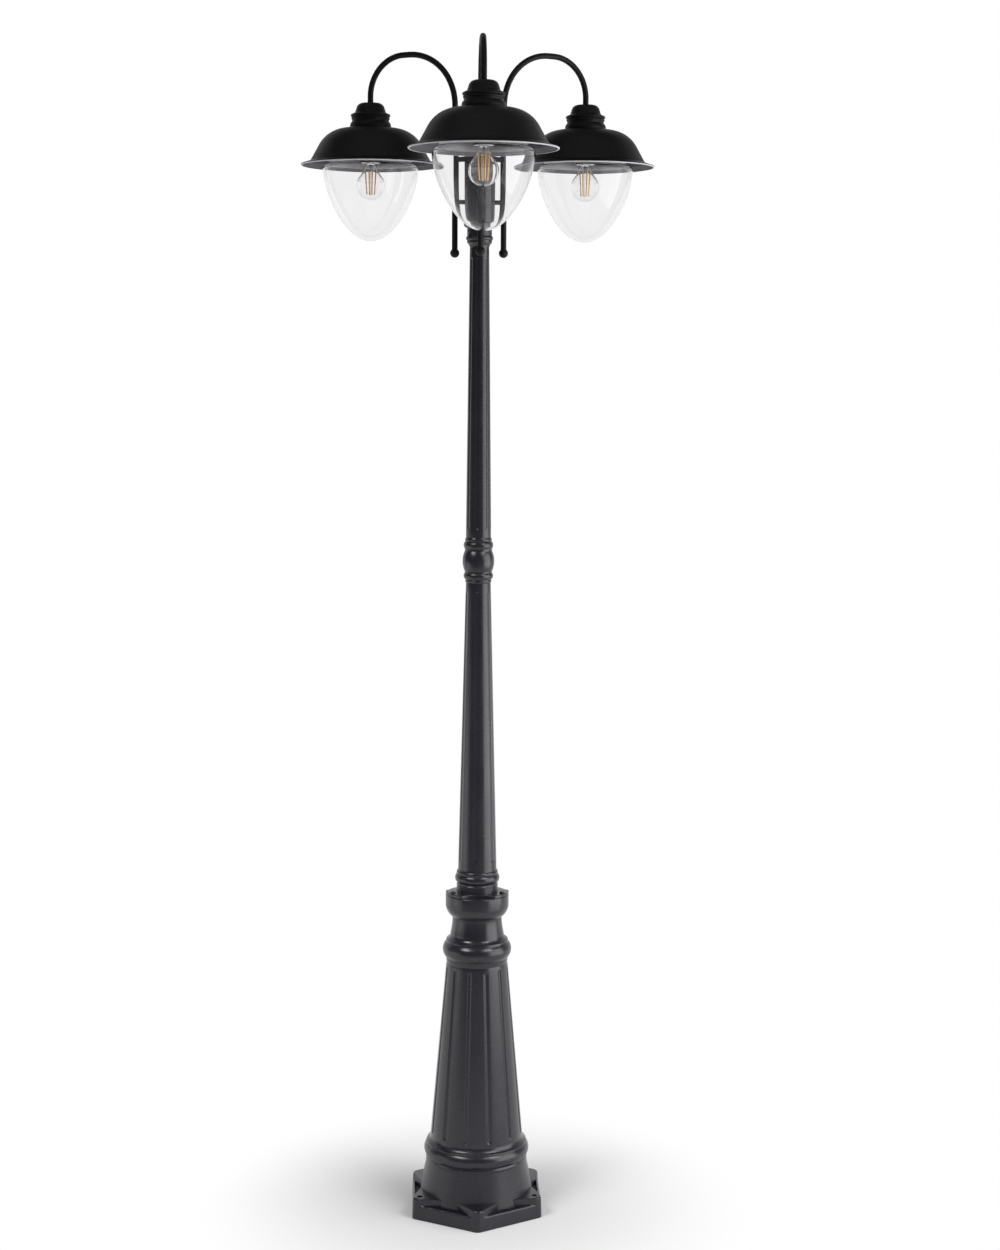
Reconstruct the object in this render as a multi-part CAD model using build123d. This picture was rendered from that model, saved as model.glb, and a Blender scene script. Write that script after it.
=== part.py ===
"""Garden lamp post: cast pedestal, two fluted masts and three hanging lamps on gooseneck arms.

Millimetres, +Z up. The origin is the centre of the foot on the ground. The front lamp hangs towards -Y.
"""
from build123d import *
import math
import os

os.makedirs("parts", exist_ok=True)

# A shape above or below its own origin
standing = (Align.CENTER, Align.CENTER, Align.MIN)
hanging = (Align.CENTER, Align.CENTER, Align.MAX)

# Fits shared by all pieces
fit = 0.1                   # radial room in a threaded or pushed joint
slip = 0.3                  # radial room between pieces that only pass each other
front = 270                 # degrees, the side of the first lamp
lamp_angles = (front, 30, 150)

# Foot of the pedestal
foot_across_flats = 276
foot_pad_height = 46        # top of the raised corner pads
foot_rim_height = 32        # top of the lip along each flat
foot_trough_depth = 6
foot_lip_width = 6
foot_corner_radius = 12
foot_corner_angles = (30, 90, 150, 210, 270, 330)
foot_draft = 2.0            # degrees
pad_tip_width = 21
pad_root_width = 90
anchor_circle = 282
anchor_hole = 12
anchor_angles = (90, 210, 330)

# Column of the pedestal
casting_wall = 7.5
skirt_radius = 128          # at the ground, inside the foot
skirt_top_radius = 102.7
skirt_height = 104
ring_height = 46
ring_proud = 9
shaft_radius = 99.5
shaft_top_radius = 65.6
shaft_height = 387
groove_count = 12
groove_turn = 15            # degrees from the right
groove_width = 7
groove_depth = 2.4
groove_end_gap = 18
collar_radius = 72.3
collar_groove = 2           # depth of the groove under the collar
neck_height = 99
neck_flare = 11             # top of the neck wider than the waist
neck_sag = 4.5
waist_radius = 50.7
cup_height = 55
cup_radius = 67
cup_swell = 4.5
deck_thickness = 9

# Lower mast and its bolting flange
flange_thickness = 6
flange_scallop_radius = 62
flange_scallop_offset = 109
flange_bolt_circle = 118
bolt_diameter = 6
bolt_length = 20
bolt_head_width = 10
bolt_head_height = 4
mast_foot_radius = 43.7
mast_foot_height = 48
mast_bead_proud = 4
mast_bead_inset = 0.6
mast_step = 0.5
spigot_radius = 37.5
spigot_length = 40
mast_wall = 5
lower_radius = 40.7
lower_top_radius = 26.0
lower_length = 609
lower_flute_count = 6
lower_flute_width = 12
lower_flute_depth = 1.5
lower_flute_turn = -6       # degrees from the front
flute_end_gap = 17

# Coupling between the masts
coupling_height = 95
coupling_ball_radius = 33.2
coupling_neck_proud = 2.6
coupling_bead_proud = 2.3
coupling_lip = 1
coupling_tube_radius = 15
coupling_tube_wall = 3.5
coupling_tube_grip = 65     # length screwed into each mast
grip_relief = 5             # bore past the end of a screwed tube
grip_taper = 15             # from that bore to the plain wall of the mast

# Upper mast
upper_radius = 26.3
upper_top_radius = 20.0
upper_length = 591
upper_flute_count = 8
upper_flute_width = 8
upper_flute_depth = 1.2
upper_flute_turn = -11
capital_height = 27
capital_radius = 27.8
capital_bead_proud = 2.2
capital_sag = 1.5

# Hub that carries the arms
hub_neck_radius = 25.5
hub_neck_height = 16
hub_flare_height = 8
hub_flare_swell = 2
hub_radius = 32.4
hub_wall = 6.5
hub_height = 185
hub_floor = 40              # solid foot of the hub, above the mast
hub_tube_radius = 11
hub_tube_wall = 3
hub_tube_grip = 60
hub_cap_overhang = 1.5
hub_cap_edge = 6
hub_cap_rise = 16
hub_cap_flat = 6            # radius of the flat crown
hub_cap_spigot = 8
hub_cap_wall = 3

# Arms
arm_radius = 6
arm_wall = 1.5
rod_circle = 58             # radius at which the arm rods stand
lamp_circle = 260           # radius at which the lamps hang
arm_rise = 372.3            # crown of the gooseneck above the foot of the hub
near_bend = 108             # radius of the gooseneck's bend over the rod
far_bend = 80               # radius of its bend over the lamp
rod_drop = 26               # rod end below the foot of the hub
stub_radius = 5
stub_bore = 3.8
lower_stub_rise = 69
upper_stub_rise = 157
finial_radius = 9.5
finial_plug = 12

# Lamp caps and shades
cap_below_crown = 93.3
cap_height = 52
cap_wall = 3
cap_top_radius = 20
cap_neck_radius = 32.5
cap_band_radius = 39.6
cap_band_proud = 3.4
cap_band_step = 5.6         # band wider than the neck at its upper edge
cap_foot_radius = 42.6
cap_foot_swell = 2.4
cap_crown_inset = 2.5       # foot of the crown inside the neck
cap_crown_swell = 3.5
shade_sheet = 1.5
shade_flat_radius = 50
shade_shoulder_radius = 66
shade_slope = 61            # degrees below level at the skirt
shade_depth = 67            # top of the shade to the brim
brim_width = 18
brim_drop = 8
rim_bead = 2
nut_width = 19
nut_height = 6

# Lampholder, collar, diffuser
collar_sheet = 2
collar_disc_radius = 40
collar_skirt = 25
collar_skirt_wall = 3
gasket_height = 3
holder_radius = 20
holder_wall = 5
holder_length = 46
holder_boss_radius = 10
holder_boss_height = 13
holder_thread = 11          # length of arm end inside the lampholder
lead_tail = 2               # lead past the end of the arm
diffuser_neck_radius = 86
diffuser_neck_wall = 3
diffuser_radius = 100
diffuser_wall = 3
diffuser_shoulder = 10
diffuser_neck_top = 40      # below the top of the shade
diffuser_shoulder_drop = 82
diffuser_tip_drop = 232
diffuser_tip_reach = 56     # how far the tip stays flat
diffuser_side_reach = 52    # how far the side stays upright

# Bulb, a clear A60 with an E27 cap
bulb_radius = 30
bulb_length = 106
bulb_cap_radius = 13.1
bulb_cap_length = 26
bulb_glass_wall = 0.8
bulb_neck_angle = 40        # degrees above the equator where the globe turns into the neck
contact_radius = 4.8
contact_height = 1.5
contact_rim = 1             # insulator round the contact
filament_count = 4
filament_radius = 1.0
filament_length = 42
filament_circle = 9
filament_turn = 45          # degrees from the right
stem_radius = 5
wire_radius = 0.4

# Wiring
terminal_size = (40, 18, 50)
terminal_height = 210
terminal_setback = 70       # face of its boss from the axis
riser_radius = 4.5
riser_bend = 110
riser_straight = 40
riser_run = 190
connector_radius = 20
connector_height = 30
lead_radius = 1.6
lead_bend = 9.6
lead_circle = 10

# Heights from the ground up
z_shaft = skirt_height + ring_height
z_collar = z_shaft + shaft_height
z_waist = z_collar + neck_height
z_deck = z_waist + cup_height
z_mast = z_deck + flange_thickness
z_lower = z_mast + mast_foot_height
z_coupling = z_lower + lower_length
z_upper = z_coupling + coupling_height
z_capital = z_upper + upper_length
z_hub = z_capital + capital_height
z_hub_top = z_hub + hub_height
z_connector = z_hub + hub_floor
z_upper_stub = z_hub + upper_stub_rise
z_crown = z_hub + arm_rise
z_near_bend = z_crown - near_bend
z_far_bend = z_crown - far_bend
z_rod_end = z_hub - rod_drop

# Heights of a lamp, from its cap down
z_cap = z_crown - cap_below_crown
z_shade = z_cap - cap_height
z_collar_disc = z_shade - shade_sheet
z_nut = z_collar_disc - collar_sheet
z_holder = z_nut - nut_height - slip
z_arm_end = z_holder - holder_thread
z_holder_body = z_holder - holder_boss_height
z_holder_mouth = z_holder_body - holder_length
z_contact = z_holder_mouth + bulb_cap_length + contact_height
z_bulb_tip = z_contact - bulb_length
z_neck_top = z_shade - diffuser_neck_top
z_diffuser_shoulder = z_shade - diffuser_shoulder_drop
z_diffuser_tip = z_shade - diffuser_tip_drop


def face_of(outline):
    """Face in the XZ plane. A third value makes the edge arriving there an arc that bulges to its right."""
    edges = []
    for start, end in zip(outline, outline[1:] + outline[:1]):
        if len(end) == 3:
            edges.append(SagittaArc(start[:2], end[:2], -end[2]))
        else:
            edges.append(Line(start[:2], end[:2]))
    return Plane.XZ * make_face(edges)


def turned(outline):
    """Solid of revolution about Z from (radius, height) points."""
    return revolve(face_of(outline), Axis.Z)


def around(shape, angles):
    """Copies of a shape turned about Z."""
    return [Rot(0, 0, angle) * shape for angle in angles]


def evenly(count, first):
    """Angles of a full circle of copies."""
    return [first + 360 * index / count for index in range(count)]


def bulge(radius, turn):
    """Rise of an arc over its chord, from its radius and its turn in degrees."""
    return radius * (1 - math.cos(math.radians(turn / 2)))


def radius_at(base, top, height):
    """Radius at a height of the cone between two (radius, height) points."""
    return base[0] + (top[0] - base[0]) * (height - base[1]) / (top[1] - base[1])


def scoop(low, high, width, depth):
    """Round-ended rod that cuts a groove along a slanting surface line in the XZ plane."""
    radius = (width ** 2 / 4 + depth ** 2) / (2 * depth)
    run = Vector(high[0] - low[0], 0, high[1] - low[1])
    direction = run.normalized()
    outward = Vector(direction.Z, 0, -direction.X)
    start = Vector(low[0], 0, low[1]) + outward * (radius - depth)
    end_round = bulge(radius, 90)
    rod = turned([
        (0, -radius), (radius, 0, end_round), (radius, run.length), (0, run.length + radius, end_round)])
    return Plane(start, x_dir=outward, z_dir=direction) * rod


def fluted(body, base, top, count, first, width, depth, end_gap):
    """Body with grooves down the cone from base to top, both (radius, height)."""
    inset = end_gap + width / 2
    z_low, z_high = base[1] + inset, top[1] - inset
    low = (radius_at(base, top, z_low), z_low)
    high = (radius_at(base, top, z_high), z_high)
    return body - around(scoop(low, high, width, depth), evenly(count, first))


def hexagon(across_flats, corner_radius):
    """Hexagon with a corner towards the front."""
    outline = RegularPolygon(across_flats / 2, 6, major_radius=False, rotation=30)
    return fillet(outline.vertices(), corner_radius)


def foot():
    """Hexagonal foot with six raised corner pads and a trough along each flat."""
    full = extrude(hexagon(foot_across_flats, foot_corner_radius), foot_pad_height, taper=foot_draft)
    corner = foot_across_flats / math.sqrt(3)
    tip = corner - pad_tip_width / 2 / math.tan(math.radians(60))
    root = skirt_top_radius
    reach = (corner - tip) * (pad_root_width - pad_tip_width) / (tip - root)
    wedge = Polygon(
        (root, -pad_root_width / 2), (corner, -(pad_tip_width - reach) / 2),
        (corner, (pad_tip_width - reach) / 2), (root, pad_root_width / 2), align=None)
    pads = around(extrude(wedge, foot_pad_height), foot_corner_angles)
    over = Box(2 * corner, 2 * corner, foot_pad_height, align=standing)
    low = full - Pos(0, 0, foot_rim_height) * over
    inner = hexagon(foot_across_flats - 2 * foot_lip_width, foot_corner_radius - foot_lip_width)
    trough = extrude(inner, foot_pad_height)
    low -= Pos(0, 0, foot_rim_height - foot_trough_depth) * trough
    return low + [full & pad for pad in pads]


def pedestal():
    """Hollow casting: foot, skirt, ring moulding, grooved shaft, neck and cup."""
    bead = 0.3 * ring_height
    outline = [
        (0, 0), (skirt_radius, 0), (skirt_top_radius, skirt_height),
        (skirt_top_radius + 0.2 * ring_proud, skirt_height),
        (skirt_top_radius + 0.2 * ring_proud, skirt_height + 0.1 * ring_height),
        (skirt_top_radius, skirt_height + 0.15 * ring_height),
        (skirt_top_radius, z_shaft - bead, ring_proud),
        (shaft_radius, z_shaft, 0.3 * ring_proud),
        (shaft_top_radius, z_collar),
        (shaft_top_radius - collar_groove, z_collar + 0.05 * neck_height),
        (shaft_top_radius, z_collar + 0.08 * neck_height),
        (shaft_top_radius, z_collar + 0.14 * neck_height),
        (shaft_top_radius, z_collar + 0.45 * neck_height, collar_radius - shaft_top_radius),
        (shaft_top_radius, z_collar + 0.51 * neck_height),
        (waist_radius + neck_flare, z_collar + 0.54 * neck_height),
        (waist_radius, z_waist, -neck_sag),
        (cup_radius, z_waist + 0.44 * cup_height, cup_swell),
        (cup_radius, z_deck), (0, z_deck)]
    body = turned(outline)
    base, top = (shaft_radius, z_shaft), (shaft_top_radius, z_collar)
    body = fluted(body, base, top, groove_count, groove_turn, groove_width, groove_depth, groove_end_gap)
    body += foot()
    lug_face = Pos(0, terminal_setback, terminal_height)
    lug = lug_face * Box(terminal_size[0], shaft_radius - terminal_setback, terminal_size[2],
                         align=(Align.CENTER, Align.MIN, Align.MIN))
    lug &= turned([
        (0, z_shaft), (shaft_radius - groove_depth, z_shaft), (shaft_top_radius - groove_depth, z_collar),
        (0, z_collar)])
    body -= turned([
        (0, 0), (skirt_radius - casting_wall, 0), (skirt_top_radius - casting_wall, skirt_height),
        (shaft_radius - casting_wall, z_shaft), (shaft_top_radius - casting_wall, z_collar),
        (waist_radius - casting_wall, z_waist - 0.2 * neck_height), (waist_radius - casting_wall, z_waist),
        (cup_radius - casting_wall, z_waist + 0.44 * cup_height),
        (cup_radius - casting_wall, z_deck - deck_thickness),
        (spigot_radius + fit, z_deck - deck_thickness), (spigot_radius + fit, z_deck), (0, z_deck)])
    body += lug
    holes = Pos(anchor_circle / 2, 0, 0) * Cylinder(
        anchor_hole / 2, foot_pad_height, align=standing)
    body -= around(holes, anchor_angles)
    threads = Pos(flange_bolt_circle / 2, 0, z_deck) * Cylinder(
        bolt_diameter / 2 + fit, bolt_length, align=hanging)
    return body - around(threads, anchor_angles)


def lower_mast():
    """Tapering fluted tube with a beaded foot, a three-lobed flange and a spigot below it."""
    bead_base = mast_foot_radius - mast_bead_inset
    grip = coupling_tube_radius + fit
    base, top = (lower_radius, z_lower), (lower_top_radius, z_coupling)
    z_relief = z_coupling - coupling_tube_grip - grip_relief
    z_taper = z_relief - grip_taper
    outline = [
        (spigot_radius - mast_wall, z_deck - spigot_length), (spigot_radius, z_deck - spigot_length),
        (spigot_radius, z_deck), (mast_foot_radius, z_deck),
        (mast_foot_radius, z_mast + 0.31 * mast_foot_height), (bead_base, z_mast + 0.33 * mast_foot_height),
        (bead_base, z_mast + 0.38 * mast_foot_height),
        (bead_base, z_mast + 0.77 * mast_foot_height, mast_bead_proud),
        (lower_radius + mast_step, z_mast + 0.94 * mast_foot_height, 0.4 * mast_bead_proud),
        base, top, (grip, z_coupling), (grip, z_relief),
        (radius_at(base, top, z_taper) - mast_wall, z_taper),
        (lower_radius - mast_wall, z_lower), (spigot_radius - mast_wall, z_mast)]
    body = fluted(turned(outline), base, top, lower_flute_count, front + lower_flute_turn,
                  lower_flute_width, lower_flute_depth, flute_end_gap)
    plate = Circle(cup_radius) - Circle(spigot_radius)
    plate -= [loc * Circle(flange_scallop_radius) for loc in
              [Rot(0, 0, angle) * Pos(flange_scallop_offset, 0) for angle in lamp_angles]]
    plate -= [Rot(0, 0, angle) * Pos(flange_bolt_circle / 2, 0) * Circle(bolt_diameter / 2 + fit)
              for angle in anchor_angles]
    flange = Pos(0, 0, z_deck) * extrude(plate, flange_thickness)
    return body + flange


def flange_bolts():
    """Hex bolts through the lobes of the flange into the deck of the cup."""
    head = extrude(RegularPolygon(bolt_head_width / 2, 6, major_radius=False), bolt_head_height)
    shank = Cylinder(bolt_diameter / 2, bolt_length, align=hanging)
    return around(Pos(flange_bolt_circle / 2, 0, z_mast) * (head + shank), anchor_angles)


def mast_coupling():
    """Turned knop clamped between the masts: a ball between two beads."""
    neck = lower_top_radius + coupling_neck_proud
    ball_proud = coupling_ball_radius - neck
    bore = coupling_tube_radius + fit

    def at(share):
        return z_coupling + share * coupling_height

    return turned([
        (bore, at(0)), (lower_top_radius, at(0)), (lower_top_radius + coupling_lip, at(0.06), coupling_lip),
        (lower_top_radius + coupling_lip, at(0.07)), (neck, at(0.08)), (neck, at(0.22), coupling_bead_proud),
        (neck, at(0.25)), (neck, at(0.70), ball_proud), (neck, at(0.75)),
        (neck, at(0.90), coupling_bead_proud), (upper_radius + coupling_lip, at(0.91)),
        (upper_radius + coupling_lip / 2, at(0.98), coupling_lip), (upper_radius, at(1)), (bore, at(1))])


def threaded_tube(radius, wall, low, high):
    """Plain tube that stands for a threaded one."""
    return turned([(radius - wall, low), (radius, low), (radius, high), (radius - wall, high)])


def upper_mast():
    """Slim fluted tube with a capital."""
    foot_grip = coupling_tube_radius + fit
    top_grip = hub_tube_radius + fit
    base, top = (upper_radius, z_upper), (upper_top_radius, z_capital)
    bead_base = capital_radius - capital_bead_proud
    z_top_relief = z_hub - hub_tube_grip - grip_relief
    z_top_taper = z_top_relief - grip_taper
    z_foot_relief = z_upper + coupling_tube_grip + grip_relief
    z_foot_taper = z_foot_relief + grip_taper

    def at(share):
        return z_capital + share * capital_height

    outline = [
        (foot_grip, z_upper), base, top, (upper_top_radius, at(0.1)), (bead_base, at(0.48), -capital_sag),
        (bead_base, at(0.66)), (bead_base, at(1), capital_bead_proud), (top_grip, at(1)),
        (top_grip, z_top_relief), (radius_at(base, top, z_top_taper) - mast_wall, z_top_taper),
        (radius_at(base, top, z_foot_taper) - mast_wall, z_foot_taper), (foot_grip, z_foot_relief)]
    return fluted(turned(outline), base, top, upper_flute_count, front + upper_flute_turn,
                  upper_flute_width, upper_flute_depth, flute_end_gap)


def arm_hub():
    """Drum on the upper mast, bored for two stubs of each arm."""
    bore = hub_tube_radius + fit
    inside = hub_radius - hub_wall
    body = turned([
        (bore, z_hub), (hub_neck_radius, z_hub), (hub_neck_radius, z_hub + hub_neck_height),
        (hub_radius, z_hub + hub_neck_height + hub_flare_height, hub_flare_swell), (hub_radius, z_hub_top),
        (inside, z_hub_top), (inside, z_connector), (bore, z_connector)])
    for rise in (lower_stub_rise, upper_stub_rise):
        hole = Pos(0, 0, z_hub + rise) * Rot(0, 90, 0) * Cylinder(
            stub_radius + fit, rod_circle, align=standing)
        body -= around(hole, lamp_angles)
    return body


def hub_cap():
    """Domed lid that screws into the top of the hub."""
    inside = hub_radius - hub_wall - fit
    rim = hub_radius + hub_cap_overhang
    z_dome = z_hub_top + hub_cap_edge + hub_cap_rise
    return turned([
        (0, z_hub_top), (inside - hub_cap_wall, z_hub_top),
        (inside - hub_cap_wall, z_hub_top - hub_cap_spigot), (inside, z_hub_top - hub_cap_spigot),
        (inside, z_hub_top), (rim, z_hub_top), (rim, z_hub_top + hub_cap_edge),
        (hub_cap_flat, z_dome, 0.25 * hub_cap_rise), (0, z_dome)])


def gooseneck(rise, end):
    """Rise, wide and narrow bends over to the lamp and straight drop, in the XZ plane."""
    near = TangentArc((rod_circle, z_near_bend), (rod_circle + near_bend, z_crown), tangent=(0, 1))
    far = TangentArc((lamp_circle - far_bend, z_crown), (lamp_circle, z_far_bend), tangent=(1, 0))
    return Plane.XZ * (rise + near + Line(near @ 1, far @ 0) + far + Line(far @ 1, (lamp_circle, end)))


def arm():
    """Gooseneck tube with its two stubs to the hub."""
    path = gooseneck(Line((rod_circle, z_rod_end), (rod_circle, z_near_bend)), z_arm_end)
    start = Plane((rod_circle, 0, z_rod_end), z_dir=(0, 0, 1))
    body = sweep(start * Circle(arm_radius), path=path)
    inner_end = hub_radius - hub_wall
    stub = Cylinder(stub_radius, rod_circle - inner_end, align=standing)
    for rise in (lower_stub_rise, upper_stub_rise):
        body += Pos(inner_end, 0, z_hub + rise) * Rot(0, 90, 0) * stub
    body -= sweep(start * Circle(arm_radius - arm_wall), path=path)
    entry = Cylinder(stub_bore, rod_circle - inner_end, align=standing)
    return body - Pos(inner_end, 0, z_upper_stub) * Rot(0, 90, 0) * entry


def ball_finial():
    """Ball with a flat seat for the rod and a plug inside its bore."""
    seat = math.sqrt(finial_radius ** 2 - arm_radius ** 2)
    plug = arm_radius - arm_wall - fit
    above = Box(2 * finial_radius, 2 * finial_radius, finial_radius, align=standing)
    ball = Sphere(finial_radius) - Pos(0, 0, seat) * above
    pin = Pos(0, 0, seat) * Cylinder(plug, finial_plug, align=standing)
    return Pos(rod_circle, 0, z_rod_end - seat) * (ball + pin)


def lamp_cap():
    """Ribbed cap over the shade, hollow, open below."""
    hole = arm_radius + slip

    def at(share):
        return z_shade + share * cap_height

    return turned([
        (cap_foot_radius - cap_wall, z_shade), (cap_foot_radius, z_shade),
        (cap_band_radius, at(0.29), cap_foot_swell),
        (cap_neck_radius + cap_band_step, at(0.58), cap_band_proud), (cap_neck_radius, at(0.62)),
        (cap_neck_radius - cap_crown_inset, at(0.74)),
        (cap_top_radius, z_cap, cap_crown_swell), (hole, z_cap), (hole, z_cap - cap_wall),
        (cap_top_radius - cap_wall / 3, z_cap - cap_wall),
        (cap_neck_radius - cap_wall - cap_crown_inset, at(0.70)), (cap_neck_radius - cap_wall, at(0.58)),
        (cap_band_radius - cap_wall, at(0.50)), (cap_band_radius - cap_wall, at(0.29))])


def shade():
    """Spun shade: flat top, round shoulder, sloping skirt, flared brim and a rolled rim."""
    slope = math.radians(shade_slope)
    middle = slope / 2
    turn = shade_shoulder_radius

    def on_shoulder(angle):
        return (shade_flat_radius + turn * math.sin(angle), z_shade - turn * (1 - math.cos(angle)))

    hip = on_shoulder(slope)
    z_brim = z_shade - shade_depth
    brim = (hip[0] + (hip[1] - z_brim) / math.tan(slope), z_brim)
    rim = (brim[0] + brim_width, brim[1] - brim_drop)
    path = (Line((arm_radius + slip, z_shade), (shade_flat_radius, z_shade))
            + ThreePointArc((shade_flat_radius, z_shade), on_shoulder(middle), hip)
            + Line(hip, brim) + Line(brim, rim))
    sheet = make_face(offset(path, amount=shade_sheet, side=Side.RIGHT))
    sheet += Pos(*rim) * Circle(rim_bead)
    return revolve(Plane.XZ * sheet, Axis.Z)


def shade_nut():
    """Nut on the arm end that clamps cap, shade and collar together."""
    outline = RegularPolygon(nut_width / 2, 6, major_radius=False) - Circle(arm_radius + fit)
    return Pos(0, 0, z_nut - nut_height) * extrude(outline, nut_height)


def diffuser_collar():
    """Bell under the top of the shade whose skirt takes the threaded neck of the diffuser."""
    hole = arm_radius + slip
    inside = diffuser_neck_radius + slip
    outside = inside + collar_skirt_wall
    z_ledge = z_neck_top + gasket_height
    return turned([
        (inside, z_ledge - collar_skirt), (outside, z_ledge - collar_skirt), (outside, z_ledge),
        (collar_disc_radius, z_collar_disc), (hole, z_collar_disc), (hole, z_nut),
        (collar_disc_radius, z_nut), (diffuser_neck_radius - diffuser_neck_wall, z_ledge), (inside, z_ledge)])


def diffuser_gasket():
    """Flat ring between the neck of the diffuser and the collar."""
    return threaded_tube(diffuser_neck_radius, diffuser_neck_wall, z_neck_top, z_neck_top + gasket_height)


def lampholder():
    """E27 holder screwed on the arm end."""
    bore = arm_radius + fit
    socket = bulb_cap_radius + slip
    floor = z_arm_end - lead_tail
    return turned([
        (0, z_contact), (socket, z_contact), (socket, z_holder_mouth), (holder_radius, z_holder_mouth),
        (holder_radius, z_holder_body - holder_wall),
        (holder_radius - holder_wall, z_holder_body, bulge(holder_wall, 90)),
        (holder_boss_radius, z_holder_body), (holder_boss_radius, z_holder), (bore, z_holder), (bore, floor),
        (0, floor)])


def bowl_side(radius, tip, shoulder):
    """Side of the bowl from its tip to its shoulder, upright at the top."""
    return Bezier(
        (0, tip), (diffuser_tip_reach, tip), (radius, shoulder - diffuser_side_reach), (radius, shoulder))


def diffuser():
    """Clear bowl with a round shoulder and a neck."""
    wall = diffuser_wall
    neck_in = diffuser_neck_radius - diffuser_neck_wall
    z_top = z_diffuser_shoulder + diffuser_shoulder
    edge = diffuser_radius - diffuser_shoulder
    inner_edge = diffuser_radius - wall
    round_out = bulge(diffuser_shoulder, 90)
    round_in = bulge(diffuser_shoulder - wall, 90)
    edges = [
        bowl_side(diffuser_radius, z_diffuser_tip, z_diffuser_shoulder),
        SagittaArc((diffuser_radius, z_diffuser_shoulder), (edge, z_top), -round_out),
        Line((edge, z_top), (diffuser_neck_radius, z_top)),
        Line((diffuser_neck_radius, z_top), (diffuser_neck_radius, z_neck_top)),
        Line((diffuser_neck_radius, z_neck_top), (neck_in, z_neck_top)),
        Line((neck_in, z_neck_top), (neck_in, z_top - wall)),
        Line((neck_in, z_top - wall), (edge, z_top - wall)),
        SagittaArc((edge, z_top - wall), (inner_edge, z_diffuser_shoulder), round_in),
        bowl_side(inner_edge, z_diffuser_tip + wall, z_diffuser_shoulder),
        Line((0, z_diffuser_tip + wall), (0, z_diffuser_tip))]
    return revolve(Plane.XZ * make_face(edges), Axis.Z)


def bulb_side(inset):
    """Points of the globe and neck, set in from the outside of the glass."""
    radius = bulb_radius - inset
    z_centre = z_bulb_tip + bulb_radius
    angle = math.radians(bulb_neck_angle)
    waist = (radius * math.cos(angle), z_centre + radius * math.sin(angle))
    neck_turn = (z_holder_mouth - z_centre - bulb_radius * math.sin(angle)) / math.sin(angle) + inset
    collar = waist[0] - neck_turn * (1 - math.cos(angle))
    return [
        (0, z_centre - radius), (*waist, bulge(radius, 90 + bulb_neck_angle)),
        (collar, z_holder_mouth, -bulge(neck_turn, bulb_neck_angle))]


def bulb_glass():
    """Clear pear-shaped envelope, open where the cap closes it."""
    outside = bulb_side(0)
    inside = bulb_side(bulb_glass_wall)
    top = [(0, z_holder_mouth)]
    return turned(outside + top) - turned(inside + top)


def bulb_cap():
    """E27 cap with its insulating cone."""
    top = z_holder_mouth + bulb_cap_length
    return turned([
        (0, z_holder_mouth), (bulb_cap_radius, z_holder_mouth),
        (bulb_cap_radius, top - 0.25 * bulb_cap_length), (contact_radius + contact_rim, top), (0, top)])


def bulb_contact():
    """Foot contact of the bulb."""
    return Pos(0, 0, z_contact) * Cylinder(
        contact_radius, contact_height, align=hanging)


def bulb_filament():
    """Glass stem that carries upright filaments on two wire crosses."""
    stem_length = 0.45 * filament_length
    z_top = z_holder_mouth - 0.75 * stem_length
    body = turned([
        (0, z_holder_mouth - stem_length), (0.5 * stem_radius, z_holder_mouth - stem_length),
        (stem_radius, z_holder_mouth), (0, z_holder_mouth)])
    stick = Pos(filament_circle, 0, z_top) * Cylinder(filament_radius, filament_length, align=hanging)
    body += around(stick, evenly(filament_count, filament_turn))
    wire = Rot(0, 90, 0) * Cylinder(wire_radius, filament_circle, align=standing)
    for z in (z_top - filament_radius, z_top - filament_length + filament_radius):
        body += around(Pos(0, 0, z) * wire, evenly(filament_count, filament_turn))
    return body


def terminal_block():
    """Supply terminals on the boss inside the shaft."""
    block = Box(*terminal_size, align=(Align.CENTER, Align.MAX, Align.MIN))
    return Pos(0, terminal_setback, terminal_height) * block


def riser_cable():
    """Cable from the terminals up the middle of the masts to the hub."""
    start = (0, terminal_setback - terminal_size[1] / 2, terminal_height + terminal_size[2])
    bend = (0, start[1], start[2] + riser_straight)
    straight = (0, 0, bend[2] + riser_run)
    path = FilletPolyline(start, bend, straight, (0, 0, z_connector), radius=riser_bend)
    return sweep(Plane(start, z_dir=(0, 0, 1)) * Circle(riser_radius), path=path)


def hub_connector():
    """Connector block on the floor of the hub."""
    return Pos(0, 0, z_connector) * Cylinder(
        connector_radius, connector_height, align=standing)


def lamp_lead():
    """Lead from the connector through the upper stub and the arm to the lampholder."""
    start = (lead_circle, z_connector + connector_height)
    rise = FilletPolyline(
        start, (lead_circle, z_upper_stub), (rod_circle, z_upper_stub), (rod_circle, z_near_bend),
        radius=lead_bend)
    path = gooseneck(rise, z_arm_end - lead_tail)
    return sweep(Plane((start[0], 0, start[1]), z_dir=(0, 0, 1)) * Circle(lead_radius), path=path)


def save(name, shape):
    """Writes one node."""
    export_step(Compound(shape) if isinstance(shape, list) else shape, f"parts/{name}.step")


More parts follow.
